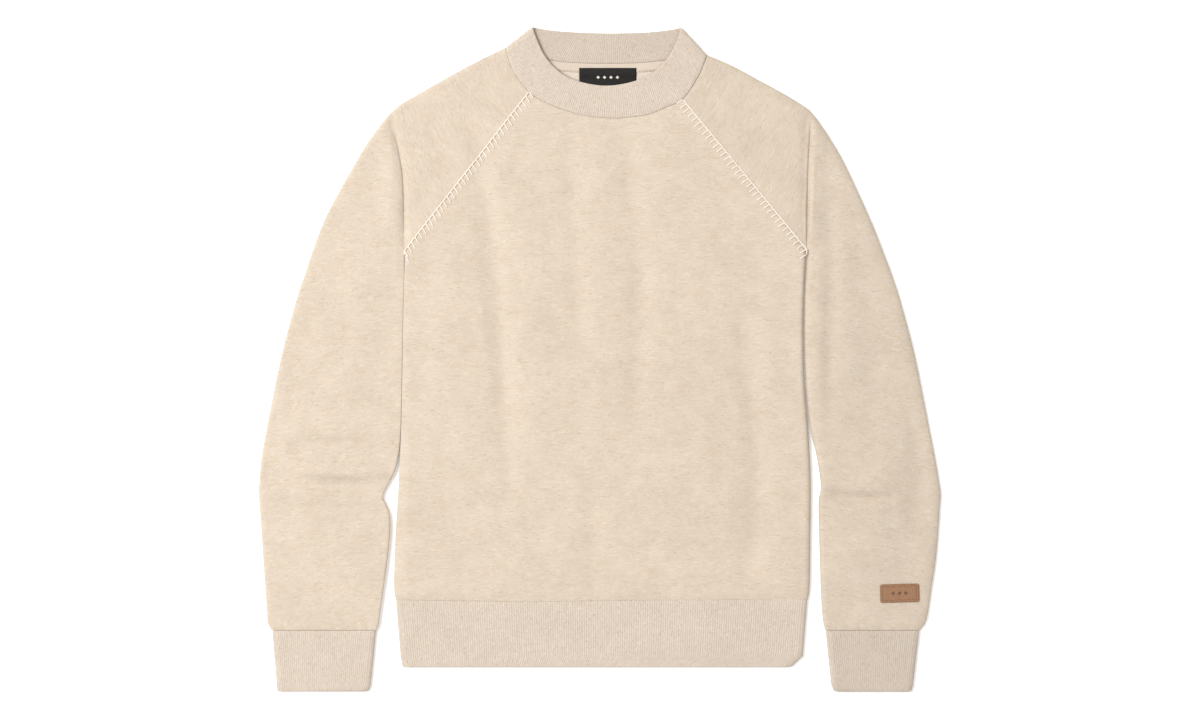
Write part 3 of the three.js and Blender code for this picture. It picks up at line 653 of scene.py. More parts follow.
class Shell:
    """Gathers the points and faces of one closed piece."""

    def __init__(self) -> None:
        """Starts an empty piece."""
        self.points: list[Points] = []
        self.faces: list[np.ndarray] = []
        self.grain: list[np.ndarray] = []
        self.finish: list[np.ndarray] = []
        self.count = 0

    def add(self, points: Points, is_ring: bool = False) -> np.ndarray:
        """Adds points.

        Args:
            points: An array whose last axis is x, y, z.
            is_ring: Whether each row closes on its first point.

        Returns:
            Their numbers, in the same shape, with the first one again at the end of a ring.
        """
        flat = points.reshape(-1, 3)
        self.points.append(flat)
        ids = np.arange(self.count, self.count + len(flat)).reshape(points.shape[:-1])
        self.count += len(flat)
        return np.hstack([ids, ids[:, :1]]) if is_ring else ids

    def skin(self, ids: np.ndarray, grain: np.ndarray, finish: int = 0, flipped: bool = False) -> None:
        """Covers a grid of points with faces.

        Args:
            ids: Point numbers in rows and columns.
            grain: Place of each point in the cloth, in the same rows and columns.
            finish: Number of the material.
            flipped: Whether the faces look the other way.
        """
        corners = [(0, 0), (0, 1), (1, 1), (1, 0)]
        if flipped:
            corners.reverse()
        rows, columns = ids.shape[0] - 1, ids.shape[1] - 1
        pick = [np.s_[r : r + rows, c : c + columns] for r, c in corners]
        self.faces.append(np.stack([ids[p] for p in pick], -1).reshape(-1, 4))
        self.grain.append(np.stack([grain[p] for p in pick], -2).reshape(-1, 4, 2))
        self.finish.append(np.full(rows * columns, finish))

    def wall(self, outer: np.ndarray, inner: np.ndarray, grain: np.ndarray, inside: int = 0,
             is_tube: bool = False) -> None:
        """Covers both sides of a wall and closes its edges.

        Args:
            outer: Point numbers of the outer side, in rows and columns.
            inner: Point numbers of the inner side.
            grain: Places in the cloth.
            inside: Material number of the inner side.
            is_tube: Whether each row is a ring, so that only the two ends are open.
        """
        self.skin(outer, grain)
        self.skin(inner, grain, inside, True)
        edges = [(inner[0], outer[0], grain[0]), (outer[-1], inner[-1], grain[-1])]
        if not is_tube:
            edges += [(outer[:, 0], inner[:, 0], grain[:, 0]), (inner[:, -1], outer[:, -1], grain[:, -1])]
        for first, second, places in edges:
            self.skin(np.stack([first, second]), np.stack([places, places]))

    def cap(self, edge: np.ndarray, grain: np.ndarray, tip: Points, tip_grain: np.ndarray,
            is_start: bool) -> None:
        """Closes an end of a tube with a fan of faces.

        Args:
            edge: Point numbers of the end.
            grain: Places of the end in the cloth.
            tip: The point that the faces meet in.
            tip_grain: Places of the point in the cloth, one for each of the end's.
            is_start: Whether it is the first row of the tube.
        """
        fan = np.repeat(self.add(tip[None]), len(edge))
        way = -1 if is_start else 1
        self.skin(np.stack([edge, fan][::way]), np.stack([grain, tip_grain][::way]))

    def piece(self, name: str, materials: Sequence[bpy.types.Material]) -> bpy.types.Object:
        """Makes the piece.

        Args:
            name: Name of the piece.
            materials: Its materials.

        Returns:
            The new object.
        """
        points = np.concatenate(self.points) * MM
        faces = np.concatenate(self.faces)
        grain = np.concatenate(self.grain)
        a, b, c, d = (points[faces[:, k]] for k in range(4))
        if float((np.cross(b - a, c - a) * a).sum() + (np.cross(c - a, d - a) * a).sum()) < 0:
            faces, grain = faces[:, ::-1], grain[:, ::-1]
        finish = np.concatenate(self.finish).astype(np.int32)
        keep = faces != np.roll(faces, 1, axis=1)
        whole = keep.all(1)
        order = np.concatenate([np.flatnonzero(whole), np.flatnonzero(~whole)])
        tips = [face[kept].tolist() for face, kept in zip(faces[~whole], keep[~whole])]
        mesh = bpy.data.meshes.new(name)
        mesh.from_pydata(points.tolist(), [], faces[whole].tolist() + tips)
        mesh.polygons.foreach_set("material_index", finish[order])
        places = (grain[order][keep[order]] * MM).reshape(-1)
        mesh.uv_layers.new(name="cloth").data.foreach_set("uv", places)
        mesh.shade_smooth()
        mesh.validate()
        mesh.update()
        for material in materials:
            mesh.materials.append(material)
        return stand(bpy.data.objects.new(name, mesh))


@dataclass
class Columns:
    """Columns across one layer of a row."""

    flat: Points
    inward: Points
    angle: np.ndarray
    share: np.ndarray
    crest: np.ndarray


@dataclass
class Wall:
    """How a flattened tube is walled."""

    thick: float
    relief: Relief
    lift: float = 0.0
    ribs: tuple[tuple[Layer, bool], ...] = ()
    folds: tuple[float, float] = (FOLD_WIDTH, FOLD_WIDTH)

    def depth(self, pinch: float, is_inner: bool) -> float:
        """How far below the outer skin a skin lies in a row that is drawn in."""
        drawn = pinch * self.thick / 2
        return self.thick - drawn if is_inner else drawn


@dataclass
class Row:
    """One row of a flattened tube, from its first fold to its second."""

    upper: Curve
    lower: Curve
    start: float = 0.0
    pinch: float = 0.0
    ray: np.ndarray | None = None
    normals: tuple[np.ndarray, np.ndarray] | None = None
    place: float = 0.0

    def end(self, share: float) -> np.ndarray:
        """One end of the row."""
        return self.upper(np.array([share]))[0]


def layer_columns(path: Curve, row: Row, widths: tuple[float, float],
                  between: Sequence[tuple[float, int]]) -> Columns:
    """Spreads columns over one layer of a row.

    Args:
        path: The layer's line across.
        row: The row, for its folds.
        widths: Width of the first and the second fold.
        between: Where each stretch between the folds ends, as a share, and its number of steps.

    Returns:
        The columns in order.
    """
    folds = []
    for side, normal in enumerate(row.normals):
        origin = path(np.array([float(side)]))[0]
        ahead = path(np.array([abs(side - END_SHARE)]))[0] - origin
        speed = np.linalg.norm(ahead) / END_SHARE
        ahead = unit(ahead)
        slant = 1 / max(float(ahead @ normal), 0.5)
        reach = (row.start if side == 0 else 0.0) + widths[side] * (1 - np.cos(FOLD_ANGLES)) * slant
        inward = np.repeat((ahead * slant)[None], FOLDS, 0)
        folds.append((origin + ahead * reach[:, None], inward, reach / speed))
    start, most = folds[0][2][-1], 1 - folds[1][2][-1]
    stops = []
    for stop, steps in between:
        stop = min(stop, most)
        stops.append(np.linspace(start, stop, steps + 1)[1:])
        start = stop
    shares = np.concatenate(stops)[:-1]
    phase = np.arange(1, len(shares) + 1) * (2 * math.pi / RIB_POINTS)
    none = np.zeros(FOLDS)
    return Columns(
        np.vstack([folds[0][0], path(shares), folds[1][0][::-1]]),
        np.vstack([folds[0][1], np.zeros((len(shares), 2)), folds[1][1][::-1]]),
        np.concatenate([FOLD_ANGLES, np.full(len(shares), math.pi / 2), FOLD_ANGLES[::-1]]),
        np.concatenate([folds[0][2], shares, 1 - folds[1][2][::-1]]),
        np.concatenate([none, 0.5 - 0.5 * np.cos(phase), none]),
    )


def across_ribs(columns: Columns, ribs: int) -> np.ndarray:
    """Places across a row of ribs, with zero in a valley beside the first fold."""
    first, last = columns.share[FOLDS - 1], columns.share[-FOLDS]
    return (columns.share - first) / max(last - first, 1e-6) * ribs * RIB_PITCH


def fold_middle(columns: Columns) -> np.ndarray:
    """Height of the middle of a fold.

    Args:
        columns: The columns, whose folds face away from their inward directions.

    Returns:
        Heights: higher where a fold faces the light, highest where the body lies tight beside a sleeve.
    """
    x, y = columns.flat.T
    aside = np.maximum(np.abs(x - TIGHT_X) - TIGHT_REACH, 0.0) / TIGHT_REACH
    below = np.maximum(TIGHT_Y[0] - y, 0.0) / TIGHT_FADE
    tight = TIGHT_RISE * np.exp(-(np.hypot(aside, below) ** 2)) * (y < TIGHT_Y[1])
    facing = FACING_RISE * np.clip(columns.inward[:, 0], 0.0, 1.0) * (x < FACING_END_X)
    return FOLD_MIDDLE + np.maximum(tight, facing)


def column_points(columns: Columns, wall: Wall, layer: Layer, depth: float, height: np.ndarray,
                  apart: float = 0.0) -> Points:
    """Lifts columns to their heights.

    Args:
        columns: The columns.
        wall: The wall they belong to.
        layer: The upper or the lower layer.
        depth: How far inside the outer skin the points lie.
        height: Height of the upper layer over each column.
        apart: How far the fold's middle moves away from the other layer.

    Returns:
        Rows of x, y, z.
    """
    rise = np.sin(columns.angle)
    middle = fold_middle(columns) + wall.lift + apart * layer.value
    top = height + wall.lift - depth
    z = middle + (top - middle) * rise if layer is Layer.UPPER else middle - (middle - depth) * rise
    into = (depth * np.cos(columns.angle))[:, None]
    is_inner = depth > wall.thick / 2
    if (layer, is_inner) in wall.ribs:
        z = z + RIB_RISE * columns.crest
    return np.column_stack([columns.flat + columns.inward * into, z])


def edge_normal(before: np.ndarray, after: np.ndarray, here: np.ndarray, towards: np.ndarray) -> np.ndarray:
    """Normal of an edge that points towards another point.

    Args:
        before: Point of the edge before this one.
        after: Point of the edge after this one.
        here: This point.
        towards: The point to look at.

    Returns:
        The unit normal.
    """
    along = unit(after - before)
    normal = np.array([-along[1], along[0]])
    return -normal if normal @ (towards - here) < 0 else normal


def set_normals(rows: list[Row], first_outer: np.ndarray | None = None) -> None:
    """Gives each row the normals of its two folds.

    Args:
        rows: The rows of a tube.
        first_outer: A point that the second fold's edge comes from, before the first row.
    """
    ends = [(row.end(0.0), row.end(1.0)) for row in rows]
    last = len(rows) - 1
    for i, row in enumerate(rows):
        before, after = ends[max(i - 1, 0)], ends[min(i + 1, last)]
        outer_before = first_outer if i == 0 and first_outer is not None else before[1]
        inner, outer = ends[i]
        first = row.ray if row.ray is not None else edge_normal(before[0], after[0], inner, outer)
        row.normals = (first, edge_normal(outer_before, after[1], outer, inner))


Grain = Callable[[Columns, Row, Layer], np.ndarray]


def tube(shell: Shell, rows: list[Row], wall: Wall, steps: dict[Layer, Sequence[tuple[float, int]]],
         grain: Grain, inside: int) -> None:
    """Builds a flattened tube with a wall.

    Args:
        shell: The piece to add to.
        rows: Its rows.
        wall: Its wall.
        steps: Stretches between the folds for each layer.
        grain: Gives the places in the cloth.
        inside: Material number of the inside.
    """
    uppers = [layer_columns(row.upper, row, wall.folds, steps[Layer.UPPER]) for row in rows]
    lowers = [layer_columns(row.lower, row, wall.folds, steps[Layer.LOWER]) for row in rows]
    flat = np.stack([columns.flat for columns in uppers])
    heights = wall.relief.height(flat[..., 0], flat[..., 1])
    skins = []
    for is_inner in (False, True):
        loops = []
        for row, upper, lower, height in zip(rows, uppers, lowers, heights):
            depth = wall.depth(row.pinch, is_inner)
            over = column_points(upper, wall, Layer.UPPER, depth, height)
            under = column_points(lower, wall, Layer.LOWER, depth, height[:1])[1:-1][::-1]
            loops.append(np.vstack([over, under]))
        skins.append(shell.add(np.stack(loops), is_ring=True))
    places = []
    for row, upper, lower in zip(rows, uppers, lowers):
        below = grain(lower, row, Layer.LOWER)
        places.append(np.vstack([grain(upper, row, Layer.UPPER), below[1:-1][::-1], below[:1]]))
    shell.wall(*skins, np.stack(places), inside, is_tube=True)


def plan_area(outline: Points) -> float:
    """Area inside a closed outline, in square metres."""
    x, y = outline[:, 0], outline[:, 1]
    return abs(float((x * np.roll(y, -1) - y * np.roll(x, -1)).sum())) / 2 * MM * MM


def linear(red: float, green: float, blue: float) -> tuple[float, float, float, float]:
    """Turns a colour of 0 to 255 into Blender's linear colour.

    Args:
        red: Red part.
        green: Green part.
        blue: Blue part.

    Returns:
        The colour with an alpha of one.
    """
    parts = [v / 255 for v in (red, green, blue)]
    r, g, b = (v / 12.92 if v <= 0.04045 else ((v + 0.055) / 1.055) ** 2.4 for v in parts)
    return (r, g, b, 1.0)


class Bench:
    """Adds shader nodes to a tree and joins them."""

    def __init__(self, tree: bpy.types.NodeTree) -> None:
        """Starts on an empty tree."""
        self.tree = tree
        tree.nodes.clear()

    def feed(self, node: bpy.types.Node, inputs: dict) -> None:
        """Gives a node's inputs what they take.

        Args:
            node: The node.
            inputs: Values or sockets for its inputs, by name or number.
        """
        for key, value in inputs.items():
            if isinstance(value, bpy.types.NodeSocket):
                self.tree.links.new(value, node.inputs[key])
            else:
                node.inputs[key].default_value = value

    def add(self, kind: str, inputs: dict | None = None, **settings: object) -> bpy.types.Node:
        """Adds a node.

        Args:
            kind: Type of the node without its common start.
            inputs: Values or sockets for its inputs, by name or number.
            **settings: Other settings of the node.

        Returns:
            The node.
        """
        node = self.tree.nodes.new("ShaderNode" + kind)
        for key, value in settings.items():
            setattr(node, key, value)
        self.feed(node, inputs or {})
        return node

    def effect(self, group: bpy.types.NodeTree, **inputs: object) -> object:
        """Places a shared effect.

        Args:
            group: The effect.
            **inputs: Values or sockets by name.

        Returns:
            Its outputs.
        """
        node = self.add("Group", node_tree=group)
        self.feed(node, inputs)
        return node.outputs

    def math(self, operation: str, *values: object) -> bpy.types.NodeSocket:
        """Result of a sum on numbers or sockets."""
        return self.add("Math", dict(enumerate(values)), operation=operation).outputs[0]

    def plus(self, first: object, second: object) -> bpy.types.NodeSocket:
        """Sum of two values."""
        return self.math("ADD", first, second)

    def minus(self, first: object, second: object) -> bpy.types.NodeSocket:
        """Difference of two values."""
        return self.math("SUBTRACT", first, second)

    def times(self, first: object, second: object) -> bpy.types.NodeSocket:
        """Product of two values."""
        return self.math("MULTIPLY", first, second)

    def over(self, first: object, second: object) -> bpy.types.NodeSocket:
        """Quotient of two values."""
        return self.math("DIVIDE", first, second)

    def away(self, first: object, second: object = 0.0) -> bpy.types.NodeSocket:
        """Distance between two values."""
        return self.math("ABSOLUTE", self.minus(first, second) if second else first)

    def wave(self, value: object, length: float) -> bpy.types.NodeSocket:
        """Sine of a value that repeats over a length."""
        return self.math("SINE", self.times(value, 2 * math.pi / length))

    def vector(self, operation: str, *values: object) -> bpy.types.NodeSocket:
        """Result of a sum on vectors or sockets."""
        return self.add("VectorMath", dict(enumerate(values)), operation=operation).outputs[0]

    def steps_of(self, size: object, vector: object) -> bpy.types.NodeSocket:
        """Vector measured in steps of a size."""
        inputs = {0: vector, "Scale": self.over(1.0, size)}
        return self.add("VectorMath", inputs, operation="SCALE").outputs[0]

    def parts(self, vector: object) -> object:
        """The parts of a vector."""
        return self.add("SeparateXYZ", {0: vector}).outputs

    def ramp(self, value: object, start: float, end: float, low: float = 0.0,
             high: float = 1.0) -> bpy.types.NodeSocket:
        """Maps a range of a value to another range, smoothly."""
        inputs = {0: value, 1: start, 2: end, 3: low, 4: high}
        return self.add("MapRange", inputs, interpolation_type="SMOOTHSTEP").outputs[0]

    def mix(self, share: object, first: object, second: object, blend: str = "MIX") -> bpy.types.NodeSocket:
        """Mixes two colours."""
        inputs = {0: share, 6: first, 7: second}
        return self.add("Mix", inputs, data_type="RGBA", blend_type=blend).outputs[2]

    def noise(self, where: object, detail: float = 2.0, rough: float = 0.5) -> bpy.types.NodeSocket:
        """Noise over places that are already scaled."""
        inputs = {"Vector": where, "Scale": 1.0, "Detail": detail, "Roughness": rough}
        return self.add("TexNoise", inputs, noise_dimensions="3D").outputs[0]


SOCKETS = {"color": "NodeSocketColor", "value": "NodeSocketFloat", "vector": "NodeSocketVector"}


def new_group(name: str, inputs: dict[str, str],
              outputs: dict[str, str]) -> tuple[bpy.types.NodeTree, Bench, object]:
    """Starts a shader node group.

    Args:
        name: Name of the group.
        inputs: Kind of each input by its name.
        outputs: Kind of each output by its name.

    Returns:
        The group, a bench on it and the sockets of its input node.
    """
    group = bpy.data.node_groups.new(name, "ShaderNodeTree")
    bench = Bench(group)
    for way, sockets in (("INPUT", inputs), ("OUTPUT", outputs)):
        for label, kind in sockets.items():
            group.interface.new_socket(name=label, in_out=way, socket_type=SOCKETS[kind])
    return group, bench, group.nodes.new("NodeGroupInput").outputs


def close_group(group: bpy.types.NodeTree, results: dict[str, bpy.types.NodeSocket]) -> bpy.types.NodeTree:
    """Joins the results of a group to its outputs.

    Args:
        group: The group.
        results: Socket of each result by its name.

    Returns:
        The group.
    """
    out = group.nodes.new("NodeGroupOutput")
    for label, socket in results.items():
        group.links.new(socket, out.inputs[label])
    return group


@dataclass(frozen=True)
class Streaks:
    """One kind of fibre in a melange yarn."""

    shade: str
    offset: float
    longer: float
    thicker: float
    start: float
    end: float
    share: float


STREAKS = (
    Streaks("Warm", 21.3, 2.2, 4.0, 0.46, 0.68, 0.45),
    Streaks("Light", 47.9, 1.4, 1.6, 0.50, 0.68, 0.55),
    Streaks("Light", 88.2, 0.6, 0.9, 0.56, 0.70, 0.50),
    Streaks("Dark", 3.7, 1.1, 1.0, 0.57, 0.72, 0.70),
    Streaks("Dark", 71.1, 0.55, 0.9, 0.60, 0.70, 1.0),
)


class Effects:
    """Shader effects that several finishes share, each a node group that is built once."""

    def __init__(self) -> None:
        """Builds the groups."""
        self.heather = self.build_heather()
        self.nap = self.build_nap()
        self.mottle = self.build_mottle()

    @staticmethod
    def build_heather() -> bpy.types.NodeTree:
        """Short streaks of lighter, darker and warmer fibre in a melange yarn.

        Returns:
            The node group.
        """
        inputs = {"Cloth": "vector", "Length": "value", "Thickness": "value", "Amount": "value",
                  "Ground": "color", "Light": "color", "Dark": "color", "Warm": "color"}
        group, bench, given = new_group("heather_streaks", inputs, {"Color": "color", "Height": "value"})
        slow = bench.vector("MULTIPLY", given["Cloth"], (0.07, 0.12, 1.0))
        bend = bench.add("TexNoise", {"Vector": slow, "Scale": 1.0, "Detail": 2.0}).outputs[1]
        bend = bench.vector("MULTIPLY", bench.vector("SUBTRACT", bend, (0.5, 0.5, 0.5)), (6.0, 5.0, 0.0))
        parts = bench.parts(bench.vector("ADD", given["Cloth"], bend))
        color = given["Ground"]
        height = None
        for kind in STREAKS:
            across = bench.over(parts[0], bench.times(given["Length"], kind.longer))
            up = bench.over(parts[1], bench.times(given["Thickness"], kind.thicker))
            where = bench.add("CombineXYZ", {0: across, 1: up, 2: kind.offset}).outputs[0]
            mask = bench.ramp(bench.noise(where, 3.0, 0.55), kind.start, kind.end)
            height = mask if height is None else bench.plus(height, mask)
            strength = bench.times(mask, bench.times(given["Amount"], kind.share))
            color = bench.mix(strength, color, given[kind.shade])
        return close_group(group, {"Color": color, "Height": height})

    @staticmethod
    def build_nap() -> bpy.types.NodeTree:
        """Fine fibres that stand off the surface.

        Returns:
            The node group.
        """
        inputs = {"Cloth": "vector", "Size": "value"}
        group, bench, given = new_group("fibre_nap", inputs, {"Height": "value", "Mask": "value"})
        place = bench.steps_of(given["Size"], given["Cloth"])
        fine = bench.noise(place, 4.0, 0.7)
        coarse = bench.noise(bench.vector("MULTIPLY", place, (0.23, 0.31, 1.0)), 2.0, 0.5)
        height = bench.plus(bench.times(fine, 0.7), bench.times(coarse, 0.6))
        return close_group(group, {"Height": height, "Mask": bench.ramp(fine, 0.42, 0.62)})

    @staticmethod
    def build_mottle() -> bpy.types.NodeTree:
        """Slow changes of tone over a piece.

        Returns:
            The node group.
        """
        inputs = {"Cloth": "vector", "Color": "color", "Size": "value", "Amount": "value"}
        group, bench, given = new_group("slow_mottle", inputs, {"Color": "color"})
        tone = bench.ramp(bench.noise(bench.steps_of(given["Size"], given["Cloth"]), 2.5, 0.55), 0.3, 0.7)
        share = bench.times(given["Amount"], tone)
        shade = bench.mix(share, given["Color"], MOTTLE_SHADE, "MULTIPLY")
        return close_group(group, {"Color": shade})


@dataclass(frozen=True)
class Palette:
    """Colours of one yarn, from 0 to 255."""

    ground: tuple[float, float, float]
    light: tuple[float, float, float]
    dark: tuple[float, float, float]
    warm: tuple[float, float, float]

    def dimmed(self, share: float) -> "Palette":
        """The same yarn with less light on it."""
        shades = (self.ground, self.light, self.dark, self.warm)
        return Palette(*[tuple(value * share for value in shade) for shade in shades])


OATMEAL = Palette((203, 188, 170), (216, 205, 188), (179, 162, 144), (199, 176, 152))
OATMEAL_RIB = Palette((200, 186, 171), (222, 211, 198), (158, 141, 125), (195, 175, 156))
OATMEAL_TAPE = Palette((201, 187, 170), (210, 198, 183), (184, 169, 152), (196, 177, 157))
OATMEAL_BRUSHED = Palette((210, 197, 182), (220, 209, 196), (197, 183, 167), (205, 188, 170))

# Range of the nap's height over which the roughness changes, and the length of a row of knit.
NAP_HEIGHTS = (0.3, 0.9)
KNIT_ROW = 1.5
# Size of each slow change of tone, with its share of the usual strength, and the shade it turns to.
MOTTLES = ((24.0, 1.0), (70.0, 0.8))
MOTTLE_SHADE = (0.45, 0.41, 0.36, 1.0)


def new_material(name: str) -> tuple[bpy.types.Material, Bench, bpy.types.NodeSocket]:
    """Starts a material.

    Args:
        name: Name of the material.

    Returns:
        The material, a bench on its tree and the places in the cloth in millimetres.
    """
    material = bpy.data.materials.new(name)
    material.use_nodes = True
    bench = Bench(material.node_tree)
    cloth = bench.add("UVMap", uv_map="cloth").outputs[0]
    return material, bench, bench.vector("MULTIPLY", cloth, (1000.0, 1000.0, 0.0))


def close_material(bench: Bench, color: object, roughness: object, bump: tuple[object, float, float] | None,
                   **sockets: object) -> None:
    """Ends a material with its shader.

    Args:
        bench: The material's bench.
        color: Base colour.
        roughness: Roughness.
        bump: Height, strength and distance in metres.
        **sockets: Constants for other sockets of the shader, with _ for a space.
    """
    inputs = {"Base Color": color, "Roughness": roughness}
    inputs.update({key.replace("_", " "): value for key, value in sockets.items()})
    if bump:
        height, strength, distance = bump
        normal = bench.add("Bump", {"Height": height, "Strength": strength, "Distance": distance})
        inputs["Normal"] = normal.outputs[0]
    shader = bench.add("BsdfPrincipled", inputs)
    bench.add("OutputMaterial", {"Surface": shader.outputs[0]})


@dataclass(frozen=True)
class KnitFinish:
    """A knitted cloth in melange yarn, with its streaks and its nap in millimetres."""

    name: str
    palette: Palette
    length: float = 6.6
    thickness: float = 1.25
    amount: float = 0.85
    mottle: float = 0.1
    is_rib: bool = False
    nap: float = 0.55
    depth: float = 0.00042
    streak_relief: float = 0.16
    fibre_share: float = 0.10
    valley_shade: float = 0.17
    row_relief: float = 0.08

    def make(self, effects: Effects) -> bpy.types.Material:
        """Builds the material.

        Args:
            effects: The shared effects.

        Returns:
            The material.
        """
        material, bench, cloth = new_material(self.name)
        shades = {shade: linear(*getattr(self.palette, shade.lower()))
                  for shade in ("Ground", "Light", "Dark", "Warm")}
        where = cloth
        if self.is_rib:
            parts = bench.parts(cloth)
            where = bench.add("CombineXYZ", {0: parts[1], 1: parts[0], 2: 0.0}).outputs[0]
        streaks = bench.effect(effects.heather, Cloth=where, Length=self.length, Thickness=self.thickness,
                               Amount=self.amount, **shades)
        color, height = streaks["Color"], bench.times(streaks["Height"], self.streak_relief)
        for size, share in MOTTLES:
            color = bench.effect(effects.mottle, Cloth=cloth, Color=color, Size=size,
                                 Amount=self.mottle * share)["Color"]
        fibres = bench.effect(effects.nap, Cloth=cloth, Size=self.nap)
        color = bench.mix(bench.times(fibres["Mask"], self.fibre_share), color, shades["Light"])
        height = bench.plus(height, fibres["Height"])
        if self.is_rib:
            # Painted shade: the valleys between the ribs are mixed towards the dark shade.
            turn = bench.times(bench.over(parts[0], RIB_PITCH), 2 * math.pi)
            valley = bench.ramp(bench.math("COSINE", turn), -0.4, 1.0)
            color = bench.mix(bench.times(valley, self.valley_shade), color, shades["Dark"])
            height = bench.plus(height, bench.times(bench.wave(parts[1], KNIT_ROW), self.row_relief))
        roughness = bench.ramp(fibres["Height"], *NAP_HEIGHTS, 0.86, 0.98)
        close_material(bench, color, roughness, (height, 0.55, self.depth), Sheen_Weight=0.12,
                       Sheen_Roughness=0.6, Specular_IOR_Level=0.2)
        return material


@dataclass(frozen=True)
class LabelFinish:
    """Black satin of the neck label, with a row of small woven lozenges."""

    name: str = "woven_label_black"
    center: tuple[float, float] = (9.0, 316.0)
    pitch: float = 7.2
    row: float = 14.4
    threads: tuple[float, float] = (0.6, 0.45)

    def make(self, effects: Effects) -> bpy.types.Material:
        """Builds the material.

        Args:
            effects: The shared effects.

        Returns:
            The material.
        """
        material, bench, cloth = new_material(self.name)
        parts = bench.parts(cloth)
        x = bench.minus(parts[0], self.center[0])
        y = bench.away(parts[1], self.center[1])
        repeat = bench.math("MODULO", bench.plus(x, 125 * self.pitch), self.pitch)
        lozenge = bench.ramp(bench.plus(bench.away(repeat, self.pitch / 2), bench.times(y, 1.1)), 2.2, 1.7)
        mark = bench.times(lozenge, bench.ramp(bench.away(x), self.row + 0.2, self.row - 0.2))
        warp, weft = (bench.wave(part, thread) for part, thread in zip(parts, self.threads))
        weave = bench.plus(weft, bench.times(warp, 0.4))
        fibres = bench.effect(effects.nap, Cloth=cloth, Size=1.6)
        black = bench.mix(fibres["Mask"], linear(15, 12, 10), linear(25, 21, 18))
        color = bench.mix(mark, black, linear(214, 206, 194))
        height = bench.plus(weave, bench.times(mark, 1.5))
        roughness = bench.ramp(weft, -1.0, 1.0, 0.42, 0.6)
        close_material(bench, color, roughness, (height, 0.35, 0.00008), Specular_IOR_Level=0.22)
        return material


@dataclass(frozen=True)
class LeatherFinish:
    """Brown leather of the sleeve patch, with a pressed border and three pressed lozenges."""

    name: str = "leather_tan"
    half: tuple[float, float] = (21.75, 10.25)
    border: float = 2.6
    pitch: float = 7.0

    def make(self, effects: Effects) -> bpy.types.Material:
        """Builds the material.

        Args:
            effects: The shared effects.

        Returns:
            The material.
        """
        material, bench, cloth = new_material(self.name)
        parts = bench.parts(cloth)
        x, y = bench.away(parts[0]), bench.away(parts[1])
        inset = bench.math("MINIMUM", bench.minus(self.half[0], x), bench.minus(self.half[1], y))
        line = bench.ramp(bench.away(inset, self.border), 0.5, 0.2)
        aside = bench.math("MINIMUM", x, bench.away(x, self.pitch))
        lozenge = bench.ramp(bench.plus(aside, y), 2.5, 2.1)
        pressed = bench.math("MAXIMUM", bench.times(line, 0.55), lozenge)
        edge = bench.ramp(inset, 1.1, 0.1)
        pores = bench.add("TexVoronoi", {"Vector": cloth, "Scale": 1.1}, feature="DISTANCE_TO_EDGE")
        grain = bench.ramp(pores.outputs[0], 0.0, 0.22)
        fibres = bench.effect(effects.nap, Cloth=cloth, Size=2.4)
        color = bench.mix(fibres["Mask"], linear(139, 101, 73), linear(154, 114, 84))
        color = bench.mix(bench.times(edge, 0.45), color, linear(104, 70, 48))
        color = bench.mix(bench.times(pressed, 0.75), color, linear(84, 54, 36))
        height = bench.minus(bench.times(grain, 0.35), bench.times(pressed, 1.4))
        height = bench.plus(height, bench.times(fibres["Height"], 0.4))
        roughness = bench.ramp(fibres["Height"], *NAP_HEIGHTS, 0.5, 0.68)
        close_material(bench, color, roughness, (height, 0.6, 0.0002), Specular_IOR_Level=0.35)
        return material


@dataclass(frozen=True)
class ThreadFinish:
    """Soft twisted thread, with painted shade in the grooves between its plies."""

    name: str
    pale: tuple[float, float, float]
    ply_groove_shade: tuple[float, float, float]
    twist: float = 1.5

    def make(self, effects: Effects) -> bpy.types.Material:
        """Builds the material.

        Args:
            effects: The shared effects.

        Returns:
            The material.
        """
        material, bench, cloth = new_material(self.name)
        parts = bench.parts(cloth)
        ply = bench.wave(bench.plus(parts[0], parts[1]), self.twist)
        fibres = bench.effect(effects.nap, Cloth=cloth, Size=0.5)
        # Painted shade: the thread is darker where the twist of its plies dips.
        color = bench.mix(bench.ramp(ply, -1.0, 0.4), linear(*self.ply_groove_shade), linear(*self.pale))
        height = bench.plus(ply, bench.times(fibres["Height"], 0.5))
        roughness = bench.ramp(fibres["Height"], *NAP_HEIGHTS, 0.75, 0.92)
        close_material(bench, color, roughness, (height, 0.6, 0.0001), Sheen_Weight=0.1,
                       Specular_IOR_Level=0.25)
        return material


@dataclass(frozen=True)
class FloorFinish:
    """Plain pale paper under the garment, lit a little from below as on a light table."""

    name: str = "pale_paper"

    def make(self, effects: Effects) -> bpy.types.Material:
        """Builds the material.

        Args:
            effects: The shared effects; not used.

        Returns:
            The material.
        """
        material, bench, _ = new_material(self.name)
        place = bench.add("TexCoord").outputs["Object"]
        tone = bench.ramp(bench.noise(bench.vector("MULTIPLY", place, (14.0, 14.0, 14.0))), 0.3, 0.7)
        color = bench.mix(tone, (0.93, 0.93, 0.93, 1.0), (0.95, 0.95, 0.95, 1.0))
        close_material(bench, color, 0.95, None, Specular_IOR_Level=0.1, Emission_Strength=0.22)
        return material


